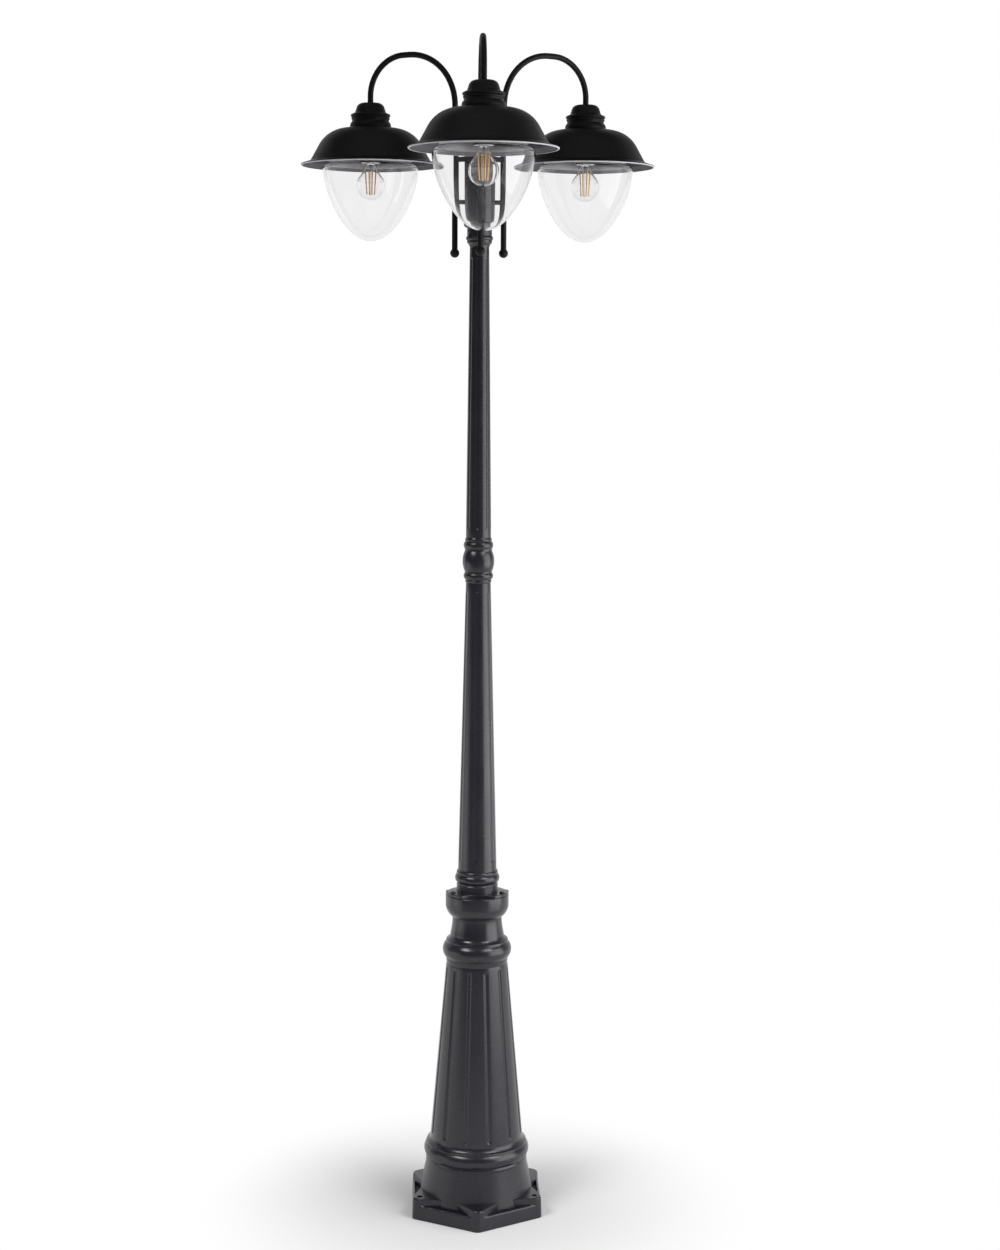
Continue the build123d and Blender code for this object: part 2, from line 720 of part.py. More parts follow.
def build():
    """Makes every piece once and writes it where it stands."""
    singles = {
        "pedestal": pedestal(),
        "lower_mast": lower_mast(),
        "flange_bolts": flange_bolts(),
        "mast_coupling": mast_coupling(),
        "coupling_tube": threaded_tube(coupling_tube_radius, coupling_tube_wall,
                                       z_coupling - coupling_tube_grip, z_upper + coupling_tube_grip),
        "upper_mast": upper_mast(),
        "hub_tube": threaded_tube(hub_tube_radius, hub_tube_wall, z_hub - hub_tube_grip, z_connector),
        "arm_hub": arm_hub(),
        "hub_cap": hub_cap(),
        "terminal_block": terminal_block(),
        "riser_cable": riser_cable(),
        "hub_connector": hub_connector(),
        "shade_nuts": around(Pos(lamp_circle, 0, 0) * shade_nut(), lamp_angles)}
    for name, shape in singles.items():
        save(name, shape)
    on_arm = {"arm": arm(), "ball_finial": ball_finial(), "lamp_lead": lamp_lead()}
    on_lamp = {
        "lamp_cap": lamp_cap(), "shade": shade(), "diffuser_collar": diffuser_collar(),
        "diffuser_gasket": diffuser_gasket(), "lampholder": lampholder(), "diffuser": diffuser(),
        "bulb_glass": bulb_glass(), "bulb_cap": bulb_cap(), "bulb_contact": bulb_contact(),
        "bulb_filament": bulb_filament()}
    on_arm.update({name: Pos(lamp_circle, 0, 0) * shape for name, shape in on_lamp.items()})
    for number, angle in enumerate(lamp_angles, 1):
        for name, shape in on_arm.items():
            save(f"{name}_{number}", Rot(0, 0, angle) * shape)


build()
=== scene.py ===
"""Finished surfaces of a garden lamp post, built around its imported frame. Metres, +Z up."""

import math

import bmesh
import bpy
import numpy as np
from bpy.props import FloatProperty, FloatVectorProperty, IntProperty, PointerProperty
from bpy.types import Operator, Panel, PropertyGroup
from mathutils import Matrix, Vector


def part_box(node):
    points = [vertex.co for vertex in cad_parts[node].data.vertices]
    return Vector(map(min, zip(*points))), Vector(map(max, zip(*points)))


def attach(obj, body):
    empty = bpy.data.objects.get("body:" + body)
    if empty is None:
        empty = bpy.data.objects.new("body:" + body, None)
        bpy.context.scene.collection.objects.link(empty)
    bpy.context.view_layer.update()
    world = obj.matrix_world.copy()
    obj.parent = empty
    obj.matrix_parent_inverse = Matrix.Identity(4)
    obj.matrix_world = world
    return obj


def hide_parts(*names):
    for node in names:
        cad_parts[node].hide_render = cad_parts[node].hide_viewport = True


bl_info = {
    "name": "Lamp post finish",
    "version": (1, 0, 0),
    "blender": (4, 5, 0),
    "location": "3D View > Sidebar > Lamp Post",
    "description": "Builds the finished surfaces of a garden lamp post with three hanging lamps",
    "category": "Object",
}

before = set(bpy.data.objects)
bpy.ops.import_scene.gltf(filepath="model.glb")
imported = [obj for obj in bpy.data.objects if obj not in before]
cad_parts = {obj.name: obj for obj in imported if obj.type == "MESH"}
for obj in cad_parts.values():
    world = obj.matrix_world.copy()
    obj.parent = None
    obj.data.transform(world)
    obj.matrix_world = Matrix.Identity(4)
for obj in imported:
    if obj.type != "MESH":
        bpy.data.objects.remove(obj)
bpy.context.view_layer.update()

POST = "post"
LAMPS = (1, 2, 3)
TURN = 2 * math.pi

# Directions of the flange's lobes, where the bolts and anchors stand, and of the bites between them
LOBES = np.radians([90, 210, 330])
BITES = np.radians([270, 30, 150])


# Places read from the frame

def low(node):
    """Lowest corner of a node."""
    return np.array(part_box(node)[0])


def high(node):
    """Highest corner of a node."""
    return np.array(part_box(node)[1])


def middle(node):
    """Centre of a node's box."""
    return (low(node) + high(node)) / 2


def half_width(node):
    """Half of a node's width along X."""
    return (high(node)[0] - low(node)[0]) / 2


def lamp_axis(number):
    """Where a lamp hangs, seen from above."""
    return middle(f"lamp_cap_{number}")[:2]


# Sizes and colours that a user would change

def length(label, default, words):
    """A length property in metres."""
    return FloatProperty(name=label, description=words, default=default, unit="LENGTH", precision=4)


def turn_of(label, degrees, words):
    """An angle property, written here in degrees."""
    return FloatProperty(name=label, description=words, default=math.radians(degrees), subtype="ANGLE")


def number_of(label, default, words, least=3):
    """A property that counts."""
    return IntProperty(name=label, description=words, default=default, min=least)


def light_level(label, default, words):
    """A brightness property, where 1 is white."""
    return FloatProperty(name=label, description=words, default=default)


def tint(label, default, words):
    """A colour property, linear."""
    return FloatVectorProperty(name=label, description=words, default=default, subtype="COLOR", size=3)


class PedestalSizes(PropertyGroup):
    """Foot and column of the cast pedestal."""
    foot_flats: length("Foot across flats", 0.276, "Width of the six-sided foot")
    foot_corner: length("Foot corner radius", 0.012, "Rounding of the six upright corners")
    foot_edge: length("Foot edge radius", 0.0042, "Rounding of the upper edge of the foot")
    foot_draft: turn_of("Foot draft", 2, "Slope of the foot's sides")
    pad_height: length("Pad height", 0.046, "Top of the raised corner pads")
    rim_height: length("Rim height", 0.032, "Top of the lip along each flat")
    trough_height: length("Trough height", 0.026, "Floor of the trough behind the lip")
    lip_width: length("Lip width", 0.006, "Width of the lip along each flat")
    pad_tip: length("Pad tip width", 0.008, "Width of a pad at the corner")
    pad_root: length("Pad root width", 0.102, "Width of a pad at the column")
    pad_start: length("Pad root radius", 0.1027, "Where a pad has its root width")
    pad_slope: length("Pad side run", 0.0042, "Level run of a pad's sloping side")
    anchor_circle: length("Anchor circle", 0.282, "Diameter of the ring of anchor holes")
    anchor_hole: length("Anchor hole", 0.012, "Diameter of an anchor hole")
    wall: length("Casting wall", 0.0075, "Thickness of the casting")
    skirt_radius: length("Skirt radius", 0.128, "Radius of the skirt at the ground")
    skirt_top: length("Skirt top radius", 0.1074, "Radius of the skirt under the ring")
    skirt_height: length("Skirt height", 0.104, "Height of the skirt")
    ring_height: length("Ring height", 0.046, "Height of the ring moulding")
    ring_proud: length("Ring bead", 0.0054, "How far the ring stands proud")
    shaft_radius: length("Shaft radius", 0.0995, "Radius at the foot of the grooved shaft")
    shaft_top: length("Shaft top radius", 0.0656, "Radius at the top of the grooved shaft")
    shaft_height: length("Shaft height", 0.387, "Height of the grooved shaft")
    groove_count: number_of("Grooves", 12, "Grooves round the shaft")
    groove_width: length("Groove width", 0.0096, "Width of a groove")
    groove_depth: length("Groove depth", 0.0024, "Depth of a groove")
    groove_gap: length("Groove foot gap", 0.018, "Plain shaft below the grooves")
    groove_top_gap: length("Groove top gap", 0.0035, "Plain shaft above the grooves")
    collar_radius: length("Collar radius", 0.0725, "Radius of the collar bead")
    neck_height: length("Neck height", 0.099, "Collar and neck together")
    waist_radius: length("Waist radius", 0.0525, "Slimmest part of the neck")
    cup_radius: length("Cup radius", 0.067, "Radius of the cup")
    cup_edge: length("Cup edge radius", 0.003, "Rounding of the cup's upper edge")


class MastSizes(PropertyGroup):
    """Lower mast with its flange, coupling and upper mast."""
    spigot_radius: length("Spigot radius", 0.0375, "Spigot inside the pedestal")
    wall: length("Mast wall", 0.005, "Thickness of the masts")
    flange_scallop: length("Flange scallop", 0.062, "Radius of the three bites between the lobes")
    scallop_offset: length("Scallop offset", 0.109, "Distance of the bites from the axis")
    flange_thickness: length("Flange thickness", 0.006, "Thickness of the bolting flange")
    flange_edge: length("Flange edge radius", 0.0016, "Rounding of the flange")
    lobe_round: length("Lobe rounding", 0.0022, "Rounding where a bite meets the rim of a lobe")
    foot_radius: length("Foot radius", 0.0437, "Machined foot of the lower mast")
    foot_height: length("Foot height", 0.048, "Machined foot and its bead")
    tool_mark: length("Tool mark", 0.00018, "Depth of the turning marks on the machined foot")
    bead_proud: length("Foot bead", 0.004, "How far the bead stands proud")
    lower_radius: length("Lower radius", 0.0407, "Lower mast at its foot")
    lower_top: length("Lower top radius", 0.026, "Lower mast under the coupling")
    lower_flutes: number_of("Lower flutes", 6, "Flutes of the lower mast")
    lower_width: length("Lower flute width", 0.012, "Width of a flute")
    lower_depth: length("Lower flute depth", 0.0015, "Depth of a flute")
    lower_turn: turn_of("Lower flute turn", -6, "First flute, from the front")
    neck_proud: length("Coupling neck", 0.0026, "Coupling neck wider than the lower mast")
    coupling_bead: length("Coupling bead", 0.0023, "How far the coupling's beads stand proud")
    upper_radius: length("Upper radius", 0.0263, "Upper mast at its foot")
    upper_top: length("Upper top radius", 0.020, "Upper mast under its capital")
    upper_flutes: number_of("Upper flutes", 8, "Flutes of the upper mast")
    upper_width: length("Upper flute width", 0.008, "Width of a flute")
    upper_depth: length("Upper flute depth", 0.0012, "Depth of a flute")
    upper_turn: turn_of("Upper flute turn", -11, "First flute, from the front")
    flute_gap: length("Flute end gap", 0.017, "Plain mast past the ends of a flute")
    capital_height: length("Capital height", 0.027, "Height of the capital")
    capital_bead: length("Capital bead", 0.0022, "How far the capital's bead stands proud")
    bolt_flats: length("Bolt head", 0.010, "Width across flats of the flange bolts")
    bolt_flange: length("Bolt flange", 0.0064, "Radius of the pressed flange under a bolt head")


class ArmSizes(PropertyGroup):
    """Gooseneck arms."""
    radius: length("Tube radius", 0.006, "Outside radius of an arm")
    stub_radius: length("Stub radius", 0.005, "Radius of the stubs to the hub")
    lower_stub: length("Lower stub", 0.069, "Lower stub above the foot of the hub")
    upper_stub: length("Upper stub", 0.157, "Upper stub above the foot of the hub")
    near_bend: length("Near bend", 0.108, "Radius of the bend over the rod")
    far_bend: length("Far bend", 0.080, "Radius of the bend over the lamp")
    weld: length("Weld", 0.0018, "Leg of the weld round a stub")


class LampSizes(PropertyGroup):
    """Caps, shades, bowls and bulbs."""
    cap_wall: length("Cap wall", 0.003, "Wall of a lamp cap")
    cap_top: length("Cap top radius", 0.020, "Crown of a cap")
    cap_neck: length("Cap neck radius", 0.0325, "Foot of the crown")
    cap_waist: length("Cap waist radius", 0.0382, "Hollow above the lower bead")
    cap_bead: length("Cap bead radius", 0.0416, "Two upper beads of a cap")
    cap_foot: length("Cap foot radius", 0.0428, "Lower bead of a cap")
    sheet: length("Shade sheet", 0.0015, "Thickness of the spun shade")
    shade_flat: length("Shade flat radius", 0.050, "Flat top of a shade")
    shade_shoulder: length("Shade shoulder", 0.066, "Radius of a shade's shoulder")
    shade_slope: turn_of("Shade slope", 61, "Skirt below level")
    shade_depth: length("Shade depth", 0.067, "Top of a shade to its brim")
    brim_width: length("Brim width", 0.018, "Level width of the brim")
    brim_drop: length("Brim drop", 0.008, "Fall of the brim")
    rim_bead: length("Rim bead", 0.002, "Radius of the rolled rim")
    bowl_wall: length("Bowl wall", 0.0016, "Wall of a clear bowl")
    bowl_neck: length("Bowl neck radius", 0.086, "Neck inside the collar")
    bowl_shoulder: length("Bowl shoulder", 0.010, "Rounding of the bowl's shoulder")
    bowl_shoulder_drop: length("Bowl shoulder drop", 0.082, "Widest part below the top of the shade")
    bowl_tip_reach: length("Bowl tip reach", 0.056, "How far the tip stays flat")
    bowl_side_reach: length("Bowl side reach", 0.052, "How far the side stays upright")
    globe_radius: length("Globe radius", 0.030, "Radius of a bulb's globe")
    globe_wall: length("Globe wall", 0.0008, "Wall of a bulb's glass")
    neck_angle: turn_of("Neck angle", 40, "Where the globe turns into the neck")
    cap_radius: length("Bulb cap radius", 0.0131, "Crest of the bulb cap's thread")
    cap_pitch: length("Bulb cap pitch", 0.0254 / 7, "Pitch of the bulb cap's thread")
    cap_thread: length("Bulb cap thread", 0.0011, "Depth of the bulb cap's thread")
    filaments: number_of("Filaments", 4, "Filament sticks in a bulb", least=1)
    filament_radius: length("Filament radius", 0.0014, "Radius of a filament stick")
    filament_length: length("Filament length", 0.052, "Length of a filament stick")
    filament_top: length("Filament top circle", 0.0117, "Radius at which the sticks hang")
    filament_foot: length("Filament foot circle", 0.0083, "Radius at which the sticks end")
    filament_drop: length("Filament drop", 0.0150, "Upper ends of the sticks below the bulb's cap")
    filament_turn: turn_of("Filament turn", 18, "First stick, from the right")


class Finishes(PropertyGroup):
    """Colours of the finishes, linear."""
    post: tint("Post paint", (0.0148, 0.0145, 0.0208), "Satin anthracite powder coat")
    black: tint("Black paint", (0.0070, 0.0070, 0.0080), "Fine matt black powder coat")
    inside: tint("Shade inside", (0.100, 0.099, 0.110), "Grey paint inside the shades")
    # The rim colour is a painted highlight: a pale band along the rolled rim that stands in for the floor's
    # reflection there.
    rim: tint("Shade rim", (0.62, 0.62, 0.63), "Thin paint on the rolled rim")
    holder: tint("Holder body", (0.035, 0.035, 0.037), "Dark body of the lampholders")
    ceramic: tint("Ceramic", (0.72, 0.71, 0.68), "Glazed ceramic of the lampholders")
    nickel: tint("Nickel", (0.74, 0.73, 0.71), "Plating of the bulb caps")
    steel: tint("Steel", (0.52, 0.52, 0.53), "Zinc-plated steel")
    bolt: tint("Black bolt", (0.012, 0.012, 0.013), "Blackened steel")
    brass: tint("Brass", (0.72, 0.52, 0.22), "Contacts")
    amber: tint("Amber", (0.80, 0.43, 0.11), "Coating of the filaments")
    rubber: tint("Rubber", (0.02, 0.02, 0.02), "Gaskets")
    sheath: tint("Sheath", (0.03, 0.03, 0.032), "Cable sheaths")
    terminal: tint("Terminal", (0.50, 0.50, 0.47), "Terminal plastic")
    floor: tint("Floor", (0.80, 0.80, 0.80), "Studio floor")


class Studio(PropertyGroup):
    """Camera and light."""
    eye: FloatVectorProperty(
        name="Camera place", description="Where the camera stands", default=(-0.1236, -4.4338, 1.8186),
        subtype="TRANSLATION", size=3)
    yaw: turn_of("Yaw", 2.188, "Turn to the right")
    pitch: turn_of("Pitch", 7.121, "Look down")
    roll: turn_of("Roll", 0.28, "Lean of the camera")
    picture: FloatProperty(name="Picture", description="Its long side in millimetres", default=36.0)
    lens: FloatProperty(name="Lens", description="Focal length in millimetres", default=61.456)
    key: light_level("Key", 3.4, "Brightness of the softbox on the right")
    fill: light_level("Fill", 0.9, "Brightness of the low softbox on the left")
    strip: light_level("Strip", 1.0, "Brightness of the narrow strip on the left")
    high: light_level("High", 20.0, "Brightness of the two softboxes high in front")
    top: light_level("Top", 0.5, "Brightness of the panel overhead")
    ambient: light_level("Ambient", 0.24, "Even light of the white studio")
    front: light_level("Front", 0.07, "Reflected brightness of the dark end of the studio")


# Outlines and grids. A grid is (points by row and column, whether rows close, whether columns close)

def outline(*corners, steps=6, arc_steps=14):
    """Closed outline from (r, z, corner radius, bulge) corners.

    A bulge makes the edge that arrives at a corner a circle arc, which stands proud to the right of its
    chord by that much. A corner radius puts an arc into the corner, which meets its edges at
    radius / tan(half the corner's angle) from it.
    """
    points, radii = [], []
    for index, corner in enumerate(corners):
        radius = corner[2] if len(corner) > 2 else 0.0
        if len(corner) > 3:
            between = arc(corners[index - 1][:2], corner[:2], corner[3], arc_steps)[1:-1]
            points.extend(between)
            radii.extend([0.0] * len(between))
        points.append(corner[:2])
        radii.append(radius)
    return softened(np.array(points, float), np.array(radii, float), steps)


def arc(start, end, bulge, steps):
    """Points of the circle arc from start to end whose middle lies bulge to the right of the chord."""
    start, end = np.array(start, float), np.array(end, float)
    chord = end - start
    span = np.hypot(*chord)
    right = np.array([chord[1], -chord[0]]) / span
    radius = (span ** 2 / 4 + bulge ** 2) / (2 * bulge)
    centre = (start + end) / 2 + right * (bulge - radius)
    half = math.asin(np.clip(span / 2 / abs(radius), -1, 1))
    if abs(bulge) > span / 2:
        half = math.pi - half
    angle = np.linspace(-half, half, steps)[:, None] * np.sign(bulge)
    return centre + radius * (np.cos(angle) * right + np.sin(angle) * chord / span)


def softened(points, radii, steps):
    """Outline with an arc of its own radius at each corner, at most as far as the middle of its edges."""
    back = np.roll(points, 1, 0) - points
    ahead = np.roll(points, -1, 0) - points
    back_length = np.linalg.norm(back, axis=1, keepdims=True)
    ahead_length = np.linalg.norm(ahead, axis=1, keepdims=True)
    back, ahead = back / back_length, ahead / ahead_length
    straight, farthest = 0.99999, 0.49
    half = np.arccos(np.clip((back * ahead).sum(1, keepdims=True), -straight, straight)) / 2
    reach = np.minimum(radii[:, None] / np.tan(half), farthest * np.minimum(back_length, ahead_length))
    inward = back + ahead
    inward /= np.maximum(np.linalg.norm(inward, axis=1, keepdims=True), 1e-9)
    centre = points + inward * reach / np.cos(half)
    start, end = points + back * reach - centre, points + ahead * reach - centre
    turn = math.pi - 2 * half[:, None]
    share = np.linspace(0, 1, steps)[None, :, None]
    arcs = centre[:, None] + (
        np.sin((1 - share) * turn) * start[:, None] + np.sin(share * turn) * end[:, None]) / np.sin(turn)
    rounded = np.where((radii > 0)[:, None, None], arcs, points[:, None])
    kept = np.ones(rounded.shape[:2], bool)
    kept[radii <= 0, 1:] = False
    return rounded[kept]


def polar(radius, angle, height, axis=(0.0, 0.0)):
    """Points round an upright axis: x = r cos a, y = r sin a."""
    return np.stack([
        axis[0] + radius * np.cos(angle), axis[1] + radius * np.sin(angle), height + 0 * radius * angle], -1)


def rod(radius, start, end):
    """Outline of a plain round rod between two places on its axis."""
    return outline((0, start), (radius, start), (radius, end), (0, end))


def turned(path, axis=(0.0, 0.0), segments=96):
    """Grid of an (r, z) outline carried round an upright axis."""
    angle = np.linspace(0, TURN, segments, endpoint=False)
    return polar(path[:, :1], angle, path[:, 1:], axis), True, True


def cone_rows(base, top, ends, width, steps=9):
    """Corners up a cone between two (r, z) points, close together at the round ends of its flutes."""
    share = (1 - np.cos(np.linspace(0, math.pi / 2, steps))) * width / 2
    past = 0.0006
    heights = np.concatenate([
        [ends[0] - past], ends[0] + share, np.linspace(ends[0] + width, ends[1] - width, 4),
        ends[1] - share[::-1], [ends[1] + past]])
    radii = np.interp(heights, [base[1], top[1]], [base[0], top[0]])
    return list(zip(radii, heights))


def fluted(path, count, first, width, depth, ends, inside=16, outside=12):
    """Grid of an outline turned about the post's axis with round-ended scoops.

    In each scoop the radius is less by depth (1 - (d / half width)^2), where d is the distance from the
    scoop's middle line, which ends half a width before the scoop does. The columns keep to the edges of the
    scoops at every height.
    """
    radius, height = path[:, :1], path[:, 1:]
    sector, half = TURN / count, width / 2
    widest = 0.4 * sector
    reach = np.minimum(half / np.maximum(radius, 1e-6), widest)
    across = np.linspace(-1, 1, inside + 1)
    beyond = np.linspace(0, 1, outside + 1)[1:-1]
    angle = np.hstack([across * reach, reach + beyond * (sector - 2 * reach)])
    distance = np.hstack([np.abs(across), np.ones(len(beyond))]) * half
    past = np.maximum(0, np.maximum(ends[0] + half - height, height - ends[1] + half))
    cut = depth * np.maximum(0, 1 - (distance ** 2 + past ** 2) / half ** 2)
    angles = np.hstack([first + index * sector + angle for index in range(count)])
    return polar(radius - np.hstack([cut] * count), angles, height), True, True


def tube(path, radius, side, segments=32):
    """Grid of a circle carried along a flat path; side is square to the plane of the path."""
    ahead = np.gradient(path, axis=0)
    ahead /= np.linalg.norm(ahead, axis=1, keepdims=True)
    out = np.cross(ahead, side)
    angle = np.linspace(0, TURN, segments, endpoint=False)[None, :, None]
    points = path[:, None] + radius * (np.cos(angle) * out[:, None] + np.sin(angle) * np.array(side))
    return points, False, True


def lathe_along(path, start, direction, segments=40):
    """Grid of an (r, distance) outline turned about any line."""
    direction = np.array(direction, float) / np.linalg.norm(direction)
    steep = 0.9
    helper = (0.0, 0.0, 1.0) if abs(direction[2]) < steep else (1.0, 0.0, 0.0)
    side = np.cross(direction, helper)
    side /= np.linalg.norm(side)
    other = np.cross(direction, side)
    angle = np.linspace(0, TURN, segments, endpoint=False)[None, :, None]
    radius, run = path[:, 0][:, None, None], path[:, 1][:, None, None]
    points = np.array(start) + run * direction + radius * (np.cos(angle) * side + np.sin(angle) * other)
    return points, True, True


def smooth_step(value):
    """0 below 0, 1 above 1, with level ends: t t (3 - 2 t)."""
    value = np.clip(value, 0, 1)
    return value * value * (3 - 2 * value)


def quads(rows, columns, rows_close, columns_close):
    """Corner numbers of a grid's four-sided faces."""
    row = np.arange(rows if rows_close else rows - 1)[:, None]
    column = np.arange(columns if columns_close else columns - 1)[None, :]
    next_row, next_column = (row + 1) % rows, (column + 1) % columns
    corners = np.broadcast_arrays(
        row * columns + column, row * columns + next_column, next_row * columns + next_column,
        next_row * columns + column)
    return np.stack(corners, -1).reshape(-1, 4)


def piece(name, grids, materials, body=POST, replaces=(), sharp=45, paint=None):
    """Object of one or more grids, with doubles merged, faces outwards and sharp edges past an angle.

    Each grid takes the material of its place in the list, or the last one. paint gives one number for
    each face of the first grid instead.
    """
    points, faces, numbers, first = [], [], [], 0
    for index, (grid, rows_close, columns_close) in enumerate(grids):
        rows, columns = grid.shape[:2]
        found = quads(rows, columns, rows_close, columns_close)
        points.append(grid.reshape(-1, 3))
        faces.append(found + first)
        numbers.append(np.full(len(found), min(index, len(materials) - 1), np.int32))
        first += rows * columns
    if paint is not None:
        numbers[0] = np.asarray(paint, np.int32)
    mesh = bpy.data.meshes.new(name)
    mesh.from_pydata(np.vstack(points).tolist(), [], np.vstack(faces).tolist())
    mesh.polygons.foreach_set("material_index", np.concatenate(numbers))
    for material in materials:
        mesh.materials.append(material)
    made = bpy.data.objects.new(name, mesh)
    bpy.context.scene.collection.objects.link(made)
    clean(mesh, sharp)
    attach(made, body)
    if replaces:
        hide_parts(*replaces)
    return made


def clean(mesh, sharp):
    """Merges doubled points, turns faces outwards and shades smooth up to an angle in degrees."""
    doubled, sliver = 2e-6, 1e-7
    work = bmesh.new()
    work.from_mesh(mesh)
    bmesh.ops.remove_doubles(work, verts=work.verts, dist=doubled)
    bmesh.ops.dissolve_degenerate(work, edges=work.edges, dist=sliver)
    bmesh.ops.recalc_face_normals(work, faces=work.faces)
    work.to_mesh(mesh)
    work.free()
    mesh.polygons.foreach_set("use_smooth", np.ones(len(mesh.polygons), bool))
    mesh.set_sharp_from_angle(angle=math.radians(sharp))


def drilled(made, cutters, sharp=45):
    """Cuts the cutter grids out of a piece for good."""
    for index, (grid, rows_close, columns_close) in enumerate(cutters):
        mesh = bpy.data.meshes.new("cutter")
        found = quads(*grid.shape[:2], rows_close, columns_close)
        mesh.from_pydata(grid.reshape(-1, 3).tolist(), [], found.tolist())
        clean(mesh, sharp)
        cutter = bpy.data.objects.new("cutter", mesh)
        bpy.context.scene.collection.objects.link(cutter)
        cut = made.modifiers.new(f"hole_{index}", "BOOLEAN")
        cut.operation = "DIFFERENCE"
        cut.solver = "EXACT"
        cut.object = cutter
    bpy.context.view_layer.update()
    whole = bpy.data.meshes.new_from_object(made.evaluated_get(bpy.context.evaluated_depsgraph_get()))
    tools = [change.object for change in made.modifiers]
    made.modifiers.clear()
    old, made.data = made.data, whole
    name = old.name
    bpy.data.meshes.remove(old)
    whole.name = name
    for tool in tools:
        bpy.data.meshes.remove(tool.data)
    clean(whole, sharp)


# Node groups and materials

def node(tree, kind, sockets=None, **settings):
    """Adds a shader node. A socket's value is a constant or the output that feeds it."""
    made = tree.nodes.new("ShaderNode" + kind)
    for key, value in settings.items():
        setattr(made, key, value)
    for key, value in (sockets or {}).items():
        if isinstance(value, bpy.types.NodeSocket):
            tree.links.new(value, made.inputs[key])
        else:
            made.inputs[key].default_value = value
    return made


def noise(tree, place, scale, detail, roughness=0.5):
    """Value of a noise texture."""
    return node(tree, "TexNoise", {
        "Vector": place, "Scale": scale, "Detail": detail, "Roughness": roughness}).outputs[0]


def stretched(tree, place, factors):
    """Place with each axis multiplied by its own factor."""
    return node(tree, "VectorMath", {0: place, 1: factors}, operation="MULTIPLY").outputs[0]


def scaled(tree, colour, factor):
    """Colour times a factor."""
    return node(tree, "VectorMath", {0: colour, "Scale": factor}, operation="SCALE").outputs[0]


def combined(tree, operation, first, second):
    """Two values put together by a Math node."""
    return node(tree, "Math", {0: first, 1: second}, operation=operation).outputs[0]


def remapped(tree, value, start, end, to_start=0.0, to_end=1.0, shape="LINEAR"):
    """Value that goes from one limit to the other while the input goes from start to end."""
    return node(tree, "MapRange", {
        "Value": value, "From Min": start, "From Max": end, "To Min": to_start, "To Max": to_end},
        interpolation_type=shape).outputs[0]


def linked(tree, sources, inputs):
    """Links outputs to the inputs that they are listed under."""
    for label, source in sources.items():
        tree.links.new(source, inputs[label])
    return tree


def new_group(name, inputs, outputs):
    """Empty node group with inputs by name and default, of four numbers for a colour, and outputs by name."""
    tree = bpy.data.node_groups.new(name, "ShaderNodeTree")
    for label, default in inputs.items():
        kind = "NodeSocketColor" if isinstance(default, tuple) else "NodeSocketFloat"
        tree.interface.new_socket(label, in_out="INPUT", socket_type=kind).default_value = default
    for label in outputs:
        kind = "NodeSocketColor" if label == "Color" else "NodeSocketFloat"
        tree.interface.new_socket(label, in_out="OUTPUT", socket_type=kind)
    return tree, tree.nodes.new("NodeGroupInput").outputs, tree.nodes.new("NodeGroupOutput").inputs


def coat_group():
    """Powder coat: cloudy tone and roughness, and a fine pebbled height."""
    tree, given, put = new_group("Powder coat", {
        "Colour": (0.03, 0.03, 0.03, 1), "Tone spread": 0.15, "Cloud scale": 14.0, "Pebble scale": 900.0,
        "Rough low": 0.4, "Rough high": 0.5}, ("Color", "Roughness", "Height"))
    place = node(tree, "TexCoord").outputs["Object"]
    cloud = noise(tree, place, given["Cloud scale"], 4.0)
    pebble = noise(tree, place, given["Pebble scale"], 2.0, 0.6)
    flecked = combined(tree, "ADD", cloud, remapped(tree, pebble, 0.35, 0.65))
    low_tone = combined(tree, "SUBTRACT", 1.0, given["Tone spread"])
    high_tone = combined(tree, "ADD", 1.0, given["Tone spread"])
    colour = scaled(tree, given["Colour"], remapped(tree, flecked, 0.4, 1.6, low_tone, high_tone))
    rough = remapped(tree, cloud, 0.35, 0.65, given["Rough low"], given["Rough high"])
    return linked(tree, {"Color": colour, "Roughness": rough, "Height": pebble}, put)


def metal_group():
    """Drawn or turned metal: fine rings round the upright axis and cloudy tarnish."""
    tree, given, put = new_group("Turned metal", {
        "Colour": (0.6, 0.6, 0.6, 1), "Tarnish": 0.2, "Ring scale": 1500.0, "Rough low": 0.2,
        "Rough high": 0.4}, ("Color", "Roughness", "Height"))
    place = node(tree, "TexCoord").outputs["Object"]
    rings = noise(tree, stretched(tree, place, (0.04, 0.04, 1.0)), given["Ring scale"], 2.0)
    cloud = noise(tree, place, 160.0, 5.0)
    dull = combined(tree, "MULTIPLY", cloud, given["Tarnish"])
    colour = scaled(tree, given["Colour"], combined(tree, "SUBTRACT", 1.0, dull))
    rough = remapped(tree, cloud, 0.3, 0.7, given["Rough low"], given["Rough high"])
    return linked(tree, {"Color": colour, "Roughness": rough, "Height": rings}, put)


def haze_group():
    """Wiped glass: a faint uneven haze in the roughness and a slow ripple in the height."""
    tree, given, put = new_group(
        "Glass haze", {"Clear": 0.0, "Hazy": 0.05, "Ripple scale": 30.0}, ("Roughness", "Height"))
    place = node(tree, "TexCoord").outputs["Object"]
    cloud = noise(tree, stretched(tree, place, (1.0, 1.0, 0.35)), 55.0, 6.0, 0.65)
    rough = remapped(tree, cloud, 0.45, 0.8, given["Clear"], given["Hazy"])
    ripple = noise(tree, place, given["Ripple scale"], 1.0)
    return linked(tree, {"Roughness": rough, "Height": ripple}, put)


def new_material(name, constants):
    """Material with a lone Principled shader, which has its constants on its own sockets."""
    found = bpy.data.materials.new(name)
    found.use_nodes = True
    tree = found.node_tree
    tree.nodes.clear()
    shader = node(tree, "BsdfPrincipled", constants)
    node(tree, "OutputMaterial", {"Surface": shader.outputs[0]})
    return found, tree, shader


